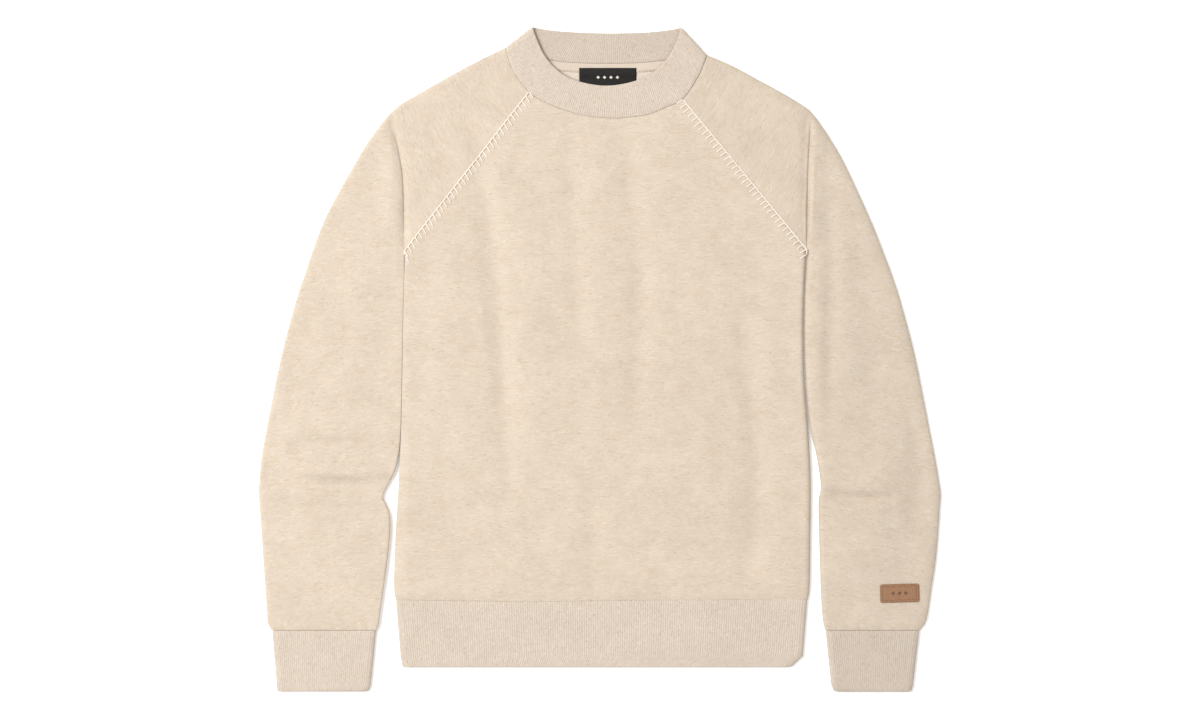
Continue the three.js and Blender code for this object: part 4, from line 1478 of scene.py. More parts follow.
@dataclass
class Wardrobe:
    """Every finish of the garment, made once."""

    effects: Effects = field(default_factory=Effects)

    def __post_init__(self) -> None:
        """Makes the materials."""
        fleece = KnitFinish("fleece_oatmeal", OATMEAL)
        # A copy of the fleece with painted shade: dimmed so that the wearer's left sleeve is darker, as a
        # sleeve lying away from the light looks.
        turned = replace(fleece, name="fleece_oatmeal_painted_shade", palette=OATMEAL.dimmed(0.984))
        brushed = KnitFinish("fleece_brushed_inside", OATMEAL_BRUSHED, 5.0, 2.6, 0.6, 0.04, nap=0.8,
                             depth=0.0009)
        rib = KnitFinish("rib_oatmeal", OATMEAL_RIB, 3.0, 1.3, 0.8, 0.06, is_rib=True, nap=0.45,
                         depth=0.0004)
        # A copy of the rib with painted shade: dimmed for the wearer's left cuff and the inside of the
        # neckband, which look darker in the shade.
        rib_turned = replace(rib, name="rib_oatmeal_painted_shade", palette=OATMEAL_RIB.dimmed(0.965))
        tape = KnitFinish("jersey_tape_oatmeal", OATMEAL_TAPE, 7.0, 0.9, 0.6, 0.04, nap=0.4, depth=0.0002)
        self.fleece, self.turned, self.brushed, self.rib, self.rib_turned, self.tape = (
            finish.make(self.effects) for finish in (fleece, turned, brushed, rib, rib_turned, tape))
        cream = ThreadFinish("thread_cream", (238, 228, 216), (219, 207, 193))
        sewing = ThreadFinish("thread_sewing", (178, 160, 143), (150, 133, 117), 0.7)
        others = (LabelFinish(), LeatherFinish(), cream, sewing, FloorFinish())
        self.label, self.leather, self.cream, self.sewing, self.floor = (
            finish.make(self.effects) for finish in others)


# Seam that each row of puckers lies on, its reach to one side in mm, its depth, its spacing and its seed.
PUCKERS = (
    ("hem", 13, 0.5, Stitching.EASED, 11),
    ("cuff_right", 11, 0.6, Stitching.GATHERED, 12),
    ("cuff_left", 11, 0.6, Stitching.GATHERED, 13),
    ("raglan_right", -11, 0.5, Stitching.EASED, 14),
    ("raglan_right", 10, 0.4, Stitching.EASED, 15),
    ("raglan_left", 11, 0.5, Stitching.EASED, 16),
    ("raglan_left", -10, 0.4, Stitching.EASED, 17),
    ("neck", -10, 0.4, Stitching.EASED, 18),
)
HEM_PUCKERS = (-9, 0.25, Stitching.EASED, 21)
# Width of the dip along each seam, and its depth at the raglan seams and at the others.
DIP_WIDTH, RAGLAN_DIP, SEAM_DIP = 2.0, -0.12, -0.4
# Rows of the table of main creases that reach the neckband.
NECKBAND_CREASES = slice(2, 10)


@dataclass
class Drape:
    """The shared form of the upper layers, with the seams between the pieces."""

    seams: dict[tuple[Side, Half], Seam] = field(default_factory=dict)

    def __post_init__(self) -> None:
        """Sets out the seams and the creases."""
        for side in Side:
            self.seams[side, Half.FRONT] = raglan_seam(side, NECK_SEAM_FRONT)
            self.seams[side, Half.BACK] = raglan_seam(side, NECK_SEAM_BACK)
        right, left = (self.seams[side, Half.FRONT].raglan for side in Side)
        lines = {"raglan_right": right, "raglan_left": left, "neck": spline(NECK_SEAM_FRONT, 4),
                 "hem": spline(HEM_SEAM, 3)}
        for name, rows in (("cuff_right", CUFF_RIGHT), ("cuff_left", CUFF_LEFT)):
            y, *ends = rows[0]
            lines[name] = np.array([[x, y] for x in ends])
        dips = {}
        for name, line in lines.items():
            is_raglan = name.startswith("raglan")
            rise = RAGLAN_DIP if is_raglan else SEAM_DIP
            dips[name] = Crease(line[::4] if is_raglan else line, DIP_WIDTH, rise)
        small = [crease for name, *numbers in PUCKERS for crease in puckers(Path(lines[name]), *numbers)]
        main = creases_from(MAIN_CREASES, Fade.NOWHERE)
        fine = creases_from(FINE_CREASES, Fade.ENDS) + creases_from(CROWNS, Fade.ENDS)
        all_dips = list(dips.values())
        self.cloth = Relief(UPPER_HEIGHT, main + fine + all_dips + small, swell=0.07)
        self.neckband = Relief(UPPER_HEIGHT, main[NECKBAND_CREASES] + all_dips[:3], swell=0.05)
        below = puckers(Path(lines["hem"]), *HEM_PUCKERS)
        self.hem = Relief(HEM_HEIGHT, [dips["hem"]] + below, swell=0.05)
        self.cuffs = Relief(CUFF_HEIGHT, [dips["cuff_right"], dips["cuff_left"]], swell=0.05)


def dress(piece: bpy.types.Object, slot: str, node: str | None = None) -> bpy.types.Object:
    """Lets a piece ride on the garment and stand for its solid.

    Args:
        piece: The piece.
        slot: Material slot of the record; not used.
        node: The solid, if the piece stands for one.

    Returns:
        The piece.
    """
    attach(piece, "root")
    if node:
        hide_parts(node)
    log.info("%s: %d faces", piece.name, len(piece.data.polygons))
    return piece


@dataclass
class Panel:
    """A body panel between its hem, its sides, its raglan edges and its neckline."""

    half: Half
    raglan_steps: int
    neck_steps: int
    rows: int
    curls: tuple[float, float] = (0.3, 7.0)
    fold_clearance: float = 1.15
    neck_points: int = 80
    edge_rows: tuple[float, float] = (0.5, 1.4)

    def build(self, drape: Drape, wardrobe: Wardrobe) -> bpy.types.Object:
        """Builds and dresses the panel.

        Args:
            drape: The shared form.
            wardrobe: The finishes.

        Returns:
            The piece.
        """
        flat, angle = self.spread(drape)
        self.area = plan_area(np.vstack([flat[0], flat[1:-1, -1], flat[-1][::-1], flat[1:-1, 0][::-1]]))
        shell = Shell()
        wall = Wall(FLEECE, drape.cloth)
        outer, inner = (shell.add(self.lift(flat, angle, wall, is_inner)) for is_inner in (False, True))
        shell.wall(outer, inner, flat, 1)
        piece = shell.piece(self.half.value + "_cloth", [wardrobe.fleece, wardrobe.brushed])
        return dress(piece, "fleece", self.half.value)

    def spread(self, drape: Drape) -> tuple[Points, np.ndarray]:
        """Spreads a grid over the flat panel.

        Args:
            drape: The shared form.

        Returns:
            The places of the grid and the fold angle of each column.
        """
        right, left = (drape.seams[side, self.half].raglan for side in Side)
        neck_table = NECK_SEAM_FRONT if self.half is Half.FRONT else NECK_SEAM_BACK
        start = RAGLAN_AT_NECK / (len(neck_table) - 1)
        neckline = spline_at(neck_table, np.linspace(start, 1 - start, self.neck_points + 1))
        edge = Path(np.vstack([right, neckline[1:], left[::-1][1:]])).moved(-HALF_GAP)
        hem = Path(spline(HEM_SEAM, 12)).moved(HALF_GAP)
        sides = []
        for column, end in ((1, 0), (2, -1)):
            line = spline(BODY_SIDES[:, [column, 0]], 10)
            line[0], line[-1] = hem.points[end], edge.points[end]
            sides.append(Path(line))
        share, bottom, top, angle = self.columns(hem, edge, len(right) - 1)
        near = np.array(self.edge_rows) / sides[0].length
        between = np.linspace(0, 1, self.rows + 1)[1:-1]
        up = np.concatenate([[0], near, between, 1 - near[::-1], [1]])
        first, last = (side.at(up)[:, None] for side in sides)
        a, u = share[None, :, None], up[:, None, None]
        low, high = (path.points[0] * (1 - a) + path.points[-1] * a for path in (hem, edge))
        across = bottom[None] * (1 - u) + top[None] * u
        return across + first * (1 - a) + last * a - low * (1 - u) - high * u, angle

    def columns(self, hem: Path, edge: Path, first: int) -> tuple[np.ndarray, Points, Points, np.ndarray]:
        """Spreads the columns from side to side.

        Args:
            hem: The lower edge.
            edge: The upper edge, from armpit to armpit.
            first: Point of the upper edge where the neckline starts.

        Returns:
            Shares, lower ends, upper ends and fold angles.
        """
        second = first + self.neck_points
        paths = [Path(edge.points[a:b]) for a, b in ((0, first + 1), (first, second + 1), (second, None))]
        limits = [FOLD_WIDTH * self.fold_clearance / paths[k].length for k in (0, 2)]
        inside = np.linspace(0, 1, self.raglan_steps + 1)[1:-1]
        steps = [limits[0] + (1 - limits[0]) * inside, np.arange(self.neck_steps + 1) / self.neck_steps,
                 1 - (limits[1] + (1 - limits[1]) * inside)[::-1]]
        curl = 1 - np.cos(FOLD_ANGLES)
        near, far = self.curls[0] * curl, self.curls[1] * curl[::-1]
        share, top, bottom = [near / hem.length], [edge.walk(near)], [hem.walk(near)]
        left, right = hem.points[[0, -1], 0]
        for path, k in zip(paths, steps):
            start, stop = (path.points[[0, -1], 0] - left) / (right - left)
            share.append(start + (stop - start) * k)
            top.append(path.at(k))
            bottom.append(hem.at(share[-1]))
        share.append(1 - far / hem.length)
        top.append(edge.walk(edge.length - far))
        bottom.append(hem.walk(hem.length - far))
        level = np.full(sum(len(k) for k in steps), math.pi / 2)
        angle = np.concatenate([FOLD_ANGLES, level, FOLD_ANGLES[::-1]])
        return np.concatenate(share), np.vstack(bottom), np.vstack(top), angle

    def lift(self, flat: Points, angle: np.ndarray, wall: Wall, is_inner: bool) -> Points:
        """Lifts the grid to the heights of one skin.

        Args:
            flat: Places on the surface below, in rows and columns.
            angle: Fold angle of each column.
            wall: The wall.
            is_inner: Whether it is the inside.

        Returns:
            Rows and columns of x, y, z.
        """
        layer = Layer.UPPER if self.half is Half.FRONT else Layer.LOWER
        pinch = np.zeros(len(flat))
        pinch[list(EDGE_PINCH)] = list(EDGE_PINCH.values())
        heights = wall.relief.height(flat[..., 0], flat[..., 1])
        none = np.zeros(len(angle))
        rows = []
        for line, draw, height in zip(flat, pinch, heights):
            inward = np.zeros_like(line)
            inward[:FOLDS] = unit(line[FOLDS - 1] - line[0])
            inward[-FOLDS:] = unit(line[-FOLDS] - line[-1])
            columns = Columns(line, inward, angle, none, none)
            rows.append(column_points(columns, wall, layer, wall.depth(draw, is_inner), height, HALF_GAP))
        return np.stack(rows)


# Turn of a sleeve's streaks in degrees by the height up the garment, and in the yoke by the raglan seam.
STREAK_TURNS = table((-310, 11), (-150, 9), (60, 3), (250, -6))
YOKE_TURN, YOKE_START_Y, YOKE_EDGE_X = -62.0, 118.0, 226.0
YOKE_SLANT, YOKE_SLANT_Y = 0.06, 120.0


def straight(start: np.ndarray, stop: np.ndarray) -> Curve:
    """Straight line between two points."""
    return lambda shares: start + (stop - start) * np.asarray(shares)[:, None]


@dataclass
class Sleeve:
    """A raglan sleeve: it turns about the armpit from its seam to the arm, and runs down to the cuff."""

    side: Side
    shoulder: np.ndarray
    arm: np.ndarray
    folds: tuple[float, float]
    step: float = 2.5
    corner: float = 0.8
    detail: int = 20
    fade: float = 2.2
    pivot_radius: float = 0.6
    pivot_offset: tuple[float, float] = (0.5, 0.3)
    near_seam: tuple[float, float] = (0.02, 0.055)
    near_cuff: tuple[float, float] = (0.06, 0.02)
    crowding: int = 5

    def edges(self, drape: Drape) -> tuple[np.ndarray, list[tuple[Path, Path]]]:
        """Finds the edges that are sewn to the body and the neckband.

        Args:
            drape: The shared form.

        Returns:
            The armpit, then the raglan and the neck edge of the front and the back.
        """
        is_right = self.side is Side.RIGHT
        seams = [drape.seams[self.side, half] for half in Half]
        aside, up = self.pivot_offset
        pivot = seams[0].raglan[0] + np.array([-aside if is_right else aside, up])
        edges = []
        for seam in seams:
            whole = Path(np.vstack([seam.raglan, seam.near_neck[1:]]))
            points = whole.moved(HALF_GAP if is_right else -HALF_GAP).points
            cut = len(seam.raglan) - 1
            edges.append((Path(np.vstack([pivot, points[1 : cut + 1]])), Path(points[cut:])))
        return pivot, edges

    def places(self) -> np.ndarray:
        """Places the rows along the shoulder's table, close together where it is creased.

        Returns:
            Places, one for each step from row to row of the table.
        """
        last = len(self.shoulder) - 1
        over = Path(spline(self.shoulder, self.detail))
        evenly = np.arange(0, over.length, self.step)
        places = np.interp(evenly, over.reached, np.linspace(0, last, last * self.detail + 1))
        outer_x = np.abs(spline_at(self.shoulder, places / last)[:, 0])
        beside = places[(outer_x > CREASED[0]) & (outer_x < CREASED[1])]
        closer = np.linspace(0, len(beside) - 1, len(beside) * self.crowding)
        dense = np.interp(closer, np.arange(len(beside)), beside)
        return np.unique(np.concatenate([[0, *self.near_seam], places, dense, [last]]).round(5))

    def rows(self, drape: Drape) -> list[Row]:
        """Sets out the rows.

        Args:
            drape: The shared form.

        Returns:
            The rows from the raglan seam to the cuff seam.
        """
        pivot, edges = self.edges(drape)
        rows = [self.turned(place, pivot, edges) for place in self.places()]
        inner, outer = self.arm[:, :2], self.arm[:, 2:]
        last = len(self.arm) - 1
        down = Path(spline(outer, self.detail))
        evenly = np.linspace(0, down.length, int(down.length / self.step) + 1)
        places = np.interp(evenly, down.reached, np.linspace(0, 1, last * self.detail + 1))
        places = np.unique(np.concatenate([places, 1 - np.array(self.near_cuff) / last]))
        for ends in zip(spline_at(inner, places), spline_at(outer, places)):
            rows.append(Row(straight(*ends), straight(*ends)))
        for i, pinch in EDGE_PINCH.items():
            rows[i].pinch = pinch
        set_normals(rows, NECK_EDGE_FRONT[0 if self.side is Side.RIGHT else -1])
        return rows

    def turned(self, place: float, pivot: np.ndarray, edges: list[tuple[Path, Path]]) -> Row:
        """A row between the raglan seam and the arm.

        Args:
            place: Place along the shoulder's table.
            pivot: The armpit.
            edges: Raglan and neck edges of the front and the back.

        Returns:
            The row.
        """
        share = place / (len(self.shoulder) - 1)
        first_outer = edges[0][1].points[-1]
        outer = first_outer if place == 0 else spline_at(self.shoulder, np.array([share]))[0]
        if 0 < place < 1:
            outer = first_outer + (outer - self.shoulder[0]) + (self.shoulder[0] - first_outer) * place
        keep = (1 - share) ** self.fade

        def across(edge: tuple[Path, Path]) -> Curve:
            """Sets out the line across one layer.

            Args:
                edge: Raglan and neck edge of the layer.

            Returns:
                Points at shares of the line.
            """

            def at(shares: np.ndarray) -> Points:
                """Finds points of the line.

                Args:
                    shares: Places along it, from 0 to 1.

                Returns:
                    Rows of x, y.
                """
                s = np.asarray(shares, float)
                raglan = edge[0].at(np.minimum(s / self.corner, 1))
                neck = edge[1].at(np.maximum(s - self.corner, 0) / (1 - self.corner))
                seam = np.where((s <= self.corner)[:, None], raglan, neck)
                chord = pivot + (outer - pivot) * s[:, None]
                return chord + (seam - pivot - (first_outer - pivot) * s[:, None]) * keep

            return at

        front, back = (across(edge) for edge in edges)
        ray = unit(front(np.array([RAY_SHARE]))[0] - pivot)
        return Row(front, back, start=self.pivot_radius, ray=ray)

    def grain(self, columns: Columns, row: Row, layer: Layer) -> np.ndarray:
        """Places in the cloth: streaks run across the sleeve and turn with it.

        Args:
            columns: The columns.
            row: The row; not used.
            layer: The layer; not used.

        Returns:
            Rows of u, v.
        """
        x, y = columns.flat.T
        sign = -1.0 if self.side is Side.RIGHT else 1.0
        edge = YOKE_EDGE_X + np.maximum(y - YOKE_SLANT_Y, 0) * YOKE_SLANT
        turn = np.where((y > YOKE_START_Y) & (sign * x < edge), YOKE_TURN, np.interp(y, *STREAK_TURNS.T))
        angle = np.radians(turn) * -sign
        cos, sin = np.cos(angle), np.sin(angle)
        return np.column_stack([x * cos + y * sin, y * cos - x * sin])

    def build(self, drape: Drape, wardrobe: Wardrobe) -> bpy.types.Object:
        """Builds and dresses the sleeve.

        Args:
            drape: The shared form.
            wardrobe: The finishes.

        Returns:
            The piece.
        """
        rows = self.rows(drape)
        shell = Shell()
        steps = {Layer.UPPER: [(self.corner, 50), (1.0, 14)], Layer.LOWER: [(self.corner, 14), (1.0, 6)]}
        tube(shell, rows, Wall(FLEECE, drape.cloth, folds=self.folds), steps, self.grain, 1)
        fan = sum(1 for row in rows if row.start)
        outer = [row.end(1.0) for row in rows[1:]]
        inner = [row.end(0.0) for row in rows[fan:][::-1]]
        self.area = plan_area(np.vstack([rows[0].upper(np.linspace(0, 1, 30)), outer, inner]))
        name = "sleeve_" + self.side.value
        # The wearer's left sleeve takes the copy of the fleece with painted shade.
        cloth = wardrobe.fleece if self.side is Side.RIGHT else wardrobe.turned
        return dress(shell.piece(name + "_cloth", [cloth, wardrobe.brushed]), "fleece", name)


def rounded_end(start: float, stop: float, steps: int, thick: float) -> list[tuple[float, float]]:
    """Places along a band that ends in a folded edge, each with its pinch.

    Args:
        start: Where the band starts.
        stop: Where it ends.
        steps: Number of even steps before the edge.
        thick: Thickness of the band.

    Returns:
        Pairs of place and pinch.
    """
    way = 1 if stop > start else -1
    radius = thick / 2
    places = [(start, 0.3), (start + way * 0.7, 0.08)]
    places += [(float(p), 0.0) for p in np.linspace(start, stop - way * radius, steps + 1)[1:]]
    for turn in np.radians([20, 40, 58, 74, 86]).tolist():
        places.append((stop - way * radius * (1 - math.sin(turn)), 1 - math.cos(turn)))
    return places


@dataclass
class RibRing:
    """A straight ring of rib with a folded edge, such as a cuff or the hem band."""

    node: str
    table: np.ndarray
    seam: Path | None = None
    steps: int = 14

    @property
    def ribs(self) -> int:
        """Number of ribs across."""
        return round((self.table[0, 2] - self.table[0, 1]) / RIB_PITCH)

    def build(self, relief: Relief, wardrobe: Wardrobe) -> bpy.types.Object:
        """Builds and dresses the ring.

        Args:
            relief: Height of its upper layer.
            wardrobe: The finishes.

        Returns:
            The piece.
        """
        table_up = self.table[::-1]
        start, stop = self.table[0, 0], self.table[-1, 0]
        rows = []
        for y, pinch in rounded_end(start, stop, self.steps, RIB):
            left, right = (np.interp(y, table_up[:, 0], table_up[:, k]) for k in (1, 2))
            fade = (y - stop) / (start - stop)
            rows.append(Row(*[self.line(left, right, y, fade)] * 2, pinch=pinch))
        set_normals(rows)
        shell = Shell()
        wall = Wall(RIB, relief, ribs=((Layer.UPPER, False),))
        steps = {Layer.UPPER: self.ribs * RIB_POINTS, Layer.LOWER: max(12, self.ribs // 3)}
        tube(shell, rows, wall, {layer: [(1.0, count)] for layer, count in steps.items()}, self.grain, 0)
        # The wearer's left cuff takes the rib with painted shade.
        rib = wardrobe.rib_turned if self.node == "cuff_wearer_left" else wardrobe.rib
        return dress(shell.piece(self.node + "_rib", [rib]), "rib", self.node)

    def line(self, left: float, right: float, y: float, fade: float) -> Curve:
        """Line across the ring.

        Args:
            left: Its start.
            right: Its end.
            y: Its height up the garment.
            fade: How much it follows the seam.

        Returns:
            Points at shares of the line.
        """

        def at(shares: np.ndarray) -> Points:
            """Finds points of the line.

            Args:
                shares: Places along it, from 0 to 1.

            Returns:
                Rows of x, y.
            """
            x = left + (right - left) * np.asarray(shares, float)
            lift = 0.0
            if self.seam is not None:
                lift = (np.interp(x, *self.seam.points.T) - self.table[0, 0]) * fade
            return np.column_stack([x, y + lift + 0 * x])

        return at

    def grain(self, columns: Columns, row: Row, layer: Layer) -> np.ndarray:
        """Places in the cloth, with u at zero in a valley between ribs."""
        return np.column_stack([across_ribs(columns, self.ribs), columns.flat[:, 1]])


@dataclass
class Neckband:
    """The folded strip of rib round the neck: its front half lies over its back half."""

    steps: int = 16
    depth: float = 38.0
    plan_share: float = 0.82
    gaps: tuple[float, float] = (1.35 * SEAM_GAP, SEAM_GAP)
    corner_gap: float = 1.5 * SEAM_GAP
    ribs_between: int = 4

    def build(self, drape: Drape, wardrobe: Wardrobe) -> bpy.types.Object:
        """Builds and dresses the neckband.

        Args:
            drape: The shared form.
            wardrobe: The finishes.

        Returns:
            The piece.
        """
        edges = [Path(spline(edge_table, 12)) for edge_table in (NECK_EDGE_FRONT, NECK_EDGE_BACK)]
        corners = NECK_SEAM_FRONT[[0, -1]]
        along = [unit(end - corner) for end, corner in zip(edges[0].points[[0, -1]], corners)]
        normals = (np.array([along[0][1], -along[0][0]]), np.array([-along[1][1], along[1][0]]))
        paths = []
        for seam_table, gap in zip((NECK_SEAM_FRONT, NECK_SEAM_BACK), self.gaps):
            points = Path(spline(seam_table, 12)).moved(gap).points.copy()
            points[[0, -1]] = corners + np.array(along) * self.corner_gap
            paths.append(Path(points))
        rows = []
        for place, pinch in rounded_end(0.0, self.depth, self.steps, RIB):
            curves = [self.line(path, edge, place / self.depth) for path, edge in zip(paths, edges)]
            rows.append(Row(*curves, pinch=pinch, normals=normals, place=place))
        girth = sum(path.length for path in paths)
        self.ribs = {layer: round(path.length / RIB_PITCH) for layer, path in zip(Layer, paths)}
        steps = {layer: [(1.0, ribs * RIB_POINTS)] for layer, ribs in self.ribs.items()}
        shell = Shell()
        wall = Wall(RIB, drape.neckband, NECKBAND_LIFT, ((Layer.UPPER, False), (Layer.LOWER, True)))
        tube(shell, rows, wall, steps, self.grain, 1)
        self.area = girth * self.depth * self.plan_share * MM * MM
        # The inside of the neckband takes the rib with painted shade.
        return dress(shell.piece("neckband_rib", [wardrobe.rib, wardrobe.rib_turned]), "rib", "neckband")

    @staticmethod
    def line(seam: Path, edge: Path, share: float) -> Curve:
        """Line across one layer of the band, between its seam and its free edge."""
        return lambda shares: seam.at(shares) * (1 - share) + edge.at(shares) * share

    def grain(self, columns: Columns, row: Row, layer: Layer) -> np.ndarray:
        """Places in the cloth: u runs round the band, with zero in a valley between ribs.

        Args:
            columns: The columns.
            row: The row.
            layer: The layer.

        Returns:
            Rows of u, v.
        """
        u = across_ribs(columns, self.ribs[layer])
        if layer is Layer.LOWER:
            u = (sum(self.ribs.values()) + self.ribs_between) * RIB_PITCH - u
        return np.column_stack([u, np.full(len(u), row.place)])


@dataclass
class Overlay:
    """A thin strip sewn flat on the inside of the back, with a soft rounded edge."""

    node: str
    rows: list[Points]
    thick: float
    slot: str
    edge_shares: tuple[float, float] = (0.55, 0.92)

    def build(self, finish: bpy.types.Material) -> bpy.types.Object:
        """Builds and dresses the strip.

        Args:
            finish: Its material.

        Returns:
            The piece.
        """
        under = np.stack(self.rows)
        r, c = np.indices(under.shape[:2])
        edge = np.minimum(np.minimum(r, r[::-1]), np.minimum(c, c[:, ::-1]))
        over = under.copy()
        over[..., 2] += self.thick * np.array([*self.edge_shares, 1.0])[np.minimum(edge, 2)]
        shell = Shell()
        low, high = shell.add(under), shell.add(over)
        shell.wall(high, low, under[..., :2])
        return dress(shell.piece(self.node + "_woven", [finish]), self.slot, self.node)


# Height of a strip that lies on the back.
ON_BACK = FLEECE + SEAM_GAP


@dataclass
class NeckTape:
    """The tape over the inside of the back neck seam, with its row of stitches."""

    start: float = 32.0
    stop: float = 204.0
    edge: float = 0.15
    width: float = 10.5
    thick: float = 0.8
    stitch: float = 2.2
    pitch: float = 2.9
    inset: float = 1.3
    arch: tuple[float, ...] = (-0.25, 0.12, 0.2, 0.2, 0.12, -0.25)
    thread_radius: float = 0.28
    row_shares: tuple[float, ...] = (0.0, 0.04, 0.1, 0.3, 0.5, 0.7, 0.9, 0.96, 1.0)

    def line(self, down: float, count: int) -> Points:
        """Points along the tape at a distance from the seam."""
        path = Path(spline(NECK_SEAM_BACK, 12)).moved(-down)
        return path.walk(np.linspace(self.start, self.stop, count))

    def build(self, wardrobe: Wardrobe) -> bpy.types.Object:
        """Builds and dresses the tape.

        Args:
            wardrobe: The finishes.

        Returns:
            The tape.
        """
        rows = []
        for share in self.row_shares:
            line = self.line(self.edge + self.width * share, 90)
            rows.append(np.column_stack([line, np.full(len(line), ON_BACK)]))
        return Overlay("neck_tape", rows, self.thick, "jersey_tape").build(wardrobe.tape)

    def sew(self, wardrobe: Wardrobe) -> None:
        """Sews the stitches along the tape's lower edge, apart from those under the label.

        Args:
            wardrobe: The finishes.
        """
        path = Path(self.line(self.edge + self.width - self.inset, 300))
        shell = Shell()
        for start in np.arange(1.0, path.length - self.stitch - 0.2, self.pitch):
            flat = path.walk(start + np.linspace(0, self.stitch, len(self.arch)))
            if NeckLabel.left - 2 < flat[0, 0] < NeckLabel.right + 2:
                continue
            line = np.column_stack([flat, ON_BACK + self.thick + np.array(self.arch)])
            thread(shell, line, self.thread_radius, 6, start)
        dress(shell.piece("neck_tape_stitches", [wardrobe.sewing]), "jersey_tape")


# Rows of the label by their height up the garment, with how far each one is lifted by the tape below it.
LABEL_ROWS = table((326.5, 1), (326.0, 1), (325.2, 1), (322.5, 1), (319.5, 1), (317.4, 0.6), (315.5, 0.15),
                   (311, 0), (302, 0), (293, 0), (285.2, 0), (284.4, 0), (284, 0))


@dataclass
class NeckLabel:
    """The label, sewn over the lower edge of the tape."""

    left: float = -23.0
    right: float = 41.0
    thick: float = 0.7
    over_tape: float = 1.1
    edge_columns: tuple[float, ...] = (0, 0.5, 1.3)

    def build(self, wardrobe: Wardrobe) -> bpy.types.Object:
        """Builds and dresses the label.

        Args:
            wardrobe: The finishes.

        Returns:
            The piece.
        """
        near = np.array(self.edge_columns)
        x = np.concatenate([self.left + near, np.linspace(self.left + 4, self.right - 4, 16),
                            self.right - near[::-1]])
        rows = [np.column_stack([x, np.full(len(x), y), np.full(len(x), ON_BACK + on * self.over_tape)])
                for y, on in LABEL_ROWS]
        return Overlay("neck_label", rows, self.thick, "woven_label").build(wardrobe.label)


# Rings of the patch by their distance inside its edge: those below with their height over the cloth, and
# those of the bevel and the top with their depth below the top.
PATCH_BELOW = ((9.0, 0.0), (4.0, 0.0), (0.0, 0.0), (-0.05, 0.5))
PATCH_TOP = ((0.0, 0.6), (0.2, 0.25), (0.6, 0.05), (1.2, 0.0), (4.0, 0.0), (9.0, 0.0))


@dataclass
class SleevePatch:
    """The leather patch above the cuff: a rounded rectangle with a soft bevel."""

    x: float = 335.6
    y: float = -261.8
    width: float = 43.5
    height: float = 20.5
    turn: float = 1.5
    corner: float = 2.2
    thick: float = 1.8

    def ring(self, inset: float) -> Points:
        """Outline at a distance inside the edge.

        Args:
            inset: The distance.

        Returns:
            Points round the patch, about its middle, with the first one again at the end.
        """
        half = np.array([self.width / 2 - inset, self.height / 2 - inset])
        radius = max(self.corner - inset / 2, 0.6)
        angles = np.concatenate([q * math.pi / 2 + np.linspace(0, math.pi / 2, 9) for q in range(4)])
        signs = np.repeat([[1, 1], [-1, 1], [-1, -1], [1, -1]], 9, 0)
        ring = signs * (half - radius) + radius * np.column_stack([np.cos(angles), np.sin(angles)])
        return np.vstack([ring, ring[:1]])

    def build(self, drape: Drape, wardrobe: Wardrobe) -> bpy.types.Object:
        """Builds and dresses the patch.

        Args:
            drape: The shared form.
            wardrobe: The finishes.

        Returns:
            The piece.
        """
        turn = math.radians(self.turn)
        spin = np.array([[math.cos(turn), math.sin(turn)], [-math.sin(turn), math.cos(turn)]])
        base = drape.cloth.height(np.array([self.x]), np.array([self.y]))[0] + SEAM_GAP * 0.5
        insets, heights = zip(*PATCH_BELOW, *((inset, self.thick - drop) for inset, drop in PATCH_TOP))
        grain = np.stack([self.ring(inset) for inset in insets])
        up = np.broadcast_to(base + np.array(heights)[:, None, None], (*grain.shape[:2], 1))
        points = np.concatenate([grain @ spin + [self.x, self.y], up], -1)[:, :-1]
        shell = Shell()
        ids = shell.add(points, is_ring=True)
        shell.skin(ids, grain)
        for k in (0, -1):
            shell.cap(ids[k], grain[k], points[k].mean(0), np.zeros_like(grain[k]), k == 0)
        return dress(shell.piece("sleeve_patch_leather", [wardrobe.leather]), "leather", "sleeve_patch")


# Radii over which a thread's end tapers, and the square of what is left of its radius at the end.
THREAD_TAPER, THREAD_END = 1.2, 0.3


def thread(shell: Shell, line: Points, radius: float, sides: int, start: float = 0.0) -> None:
    """Sweeps a thread along a line, with both ends drawn to a point.

    Args:
        shell: The piece to add to.
        line: Rows of x, y, z.
        radius: Radius of the thread.
        sides: Number of sides.
        start: Place of its start along the yarn.
    """
    ahead = np.gradient(line, axis=0)
    ahead /= np.linalg.norm(ahead, axis=1)[:, None]
    across = np.cross(ahead, [0.0, 0.0, 1.0])
    across /= np.linalg.norm(across, axis=1)[:, None]
    up = np.cross(across, ahead)
    steps = np.linalg.norm(np.diff(line, axis=0), axis=1)
    reached = np.concatenate([[0], np.cumsum(steps)])
    from_end = np.minimum(reached, reached[-1] - reached) / (radius * THREAD_TAPER)
    taper = np.sqrt(np.clip(from_end, THREAD_END, 1))
    turn = np.linspace(0, 2 * math.pi, sides + 1)
    swing = across[:, None] * np.cos(turn)[:, None] + up[:, None] * np.sin(turn)[:, None]
    points = line[:, None] + swing * (radius * taper)[:, None, None]
    ids = shell.add(points[:, :-1], is_ring=True)
    grain = np.stack(np.broadcast_arrays((start + reached)[:, None], turn * radius), -1)
    shell.skin(ids, grain)
    for k in (0, -1):
        shell.cap(ids[k], grain[k], line[k], grain[k], k == 0)


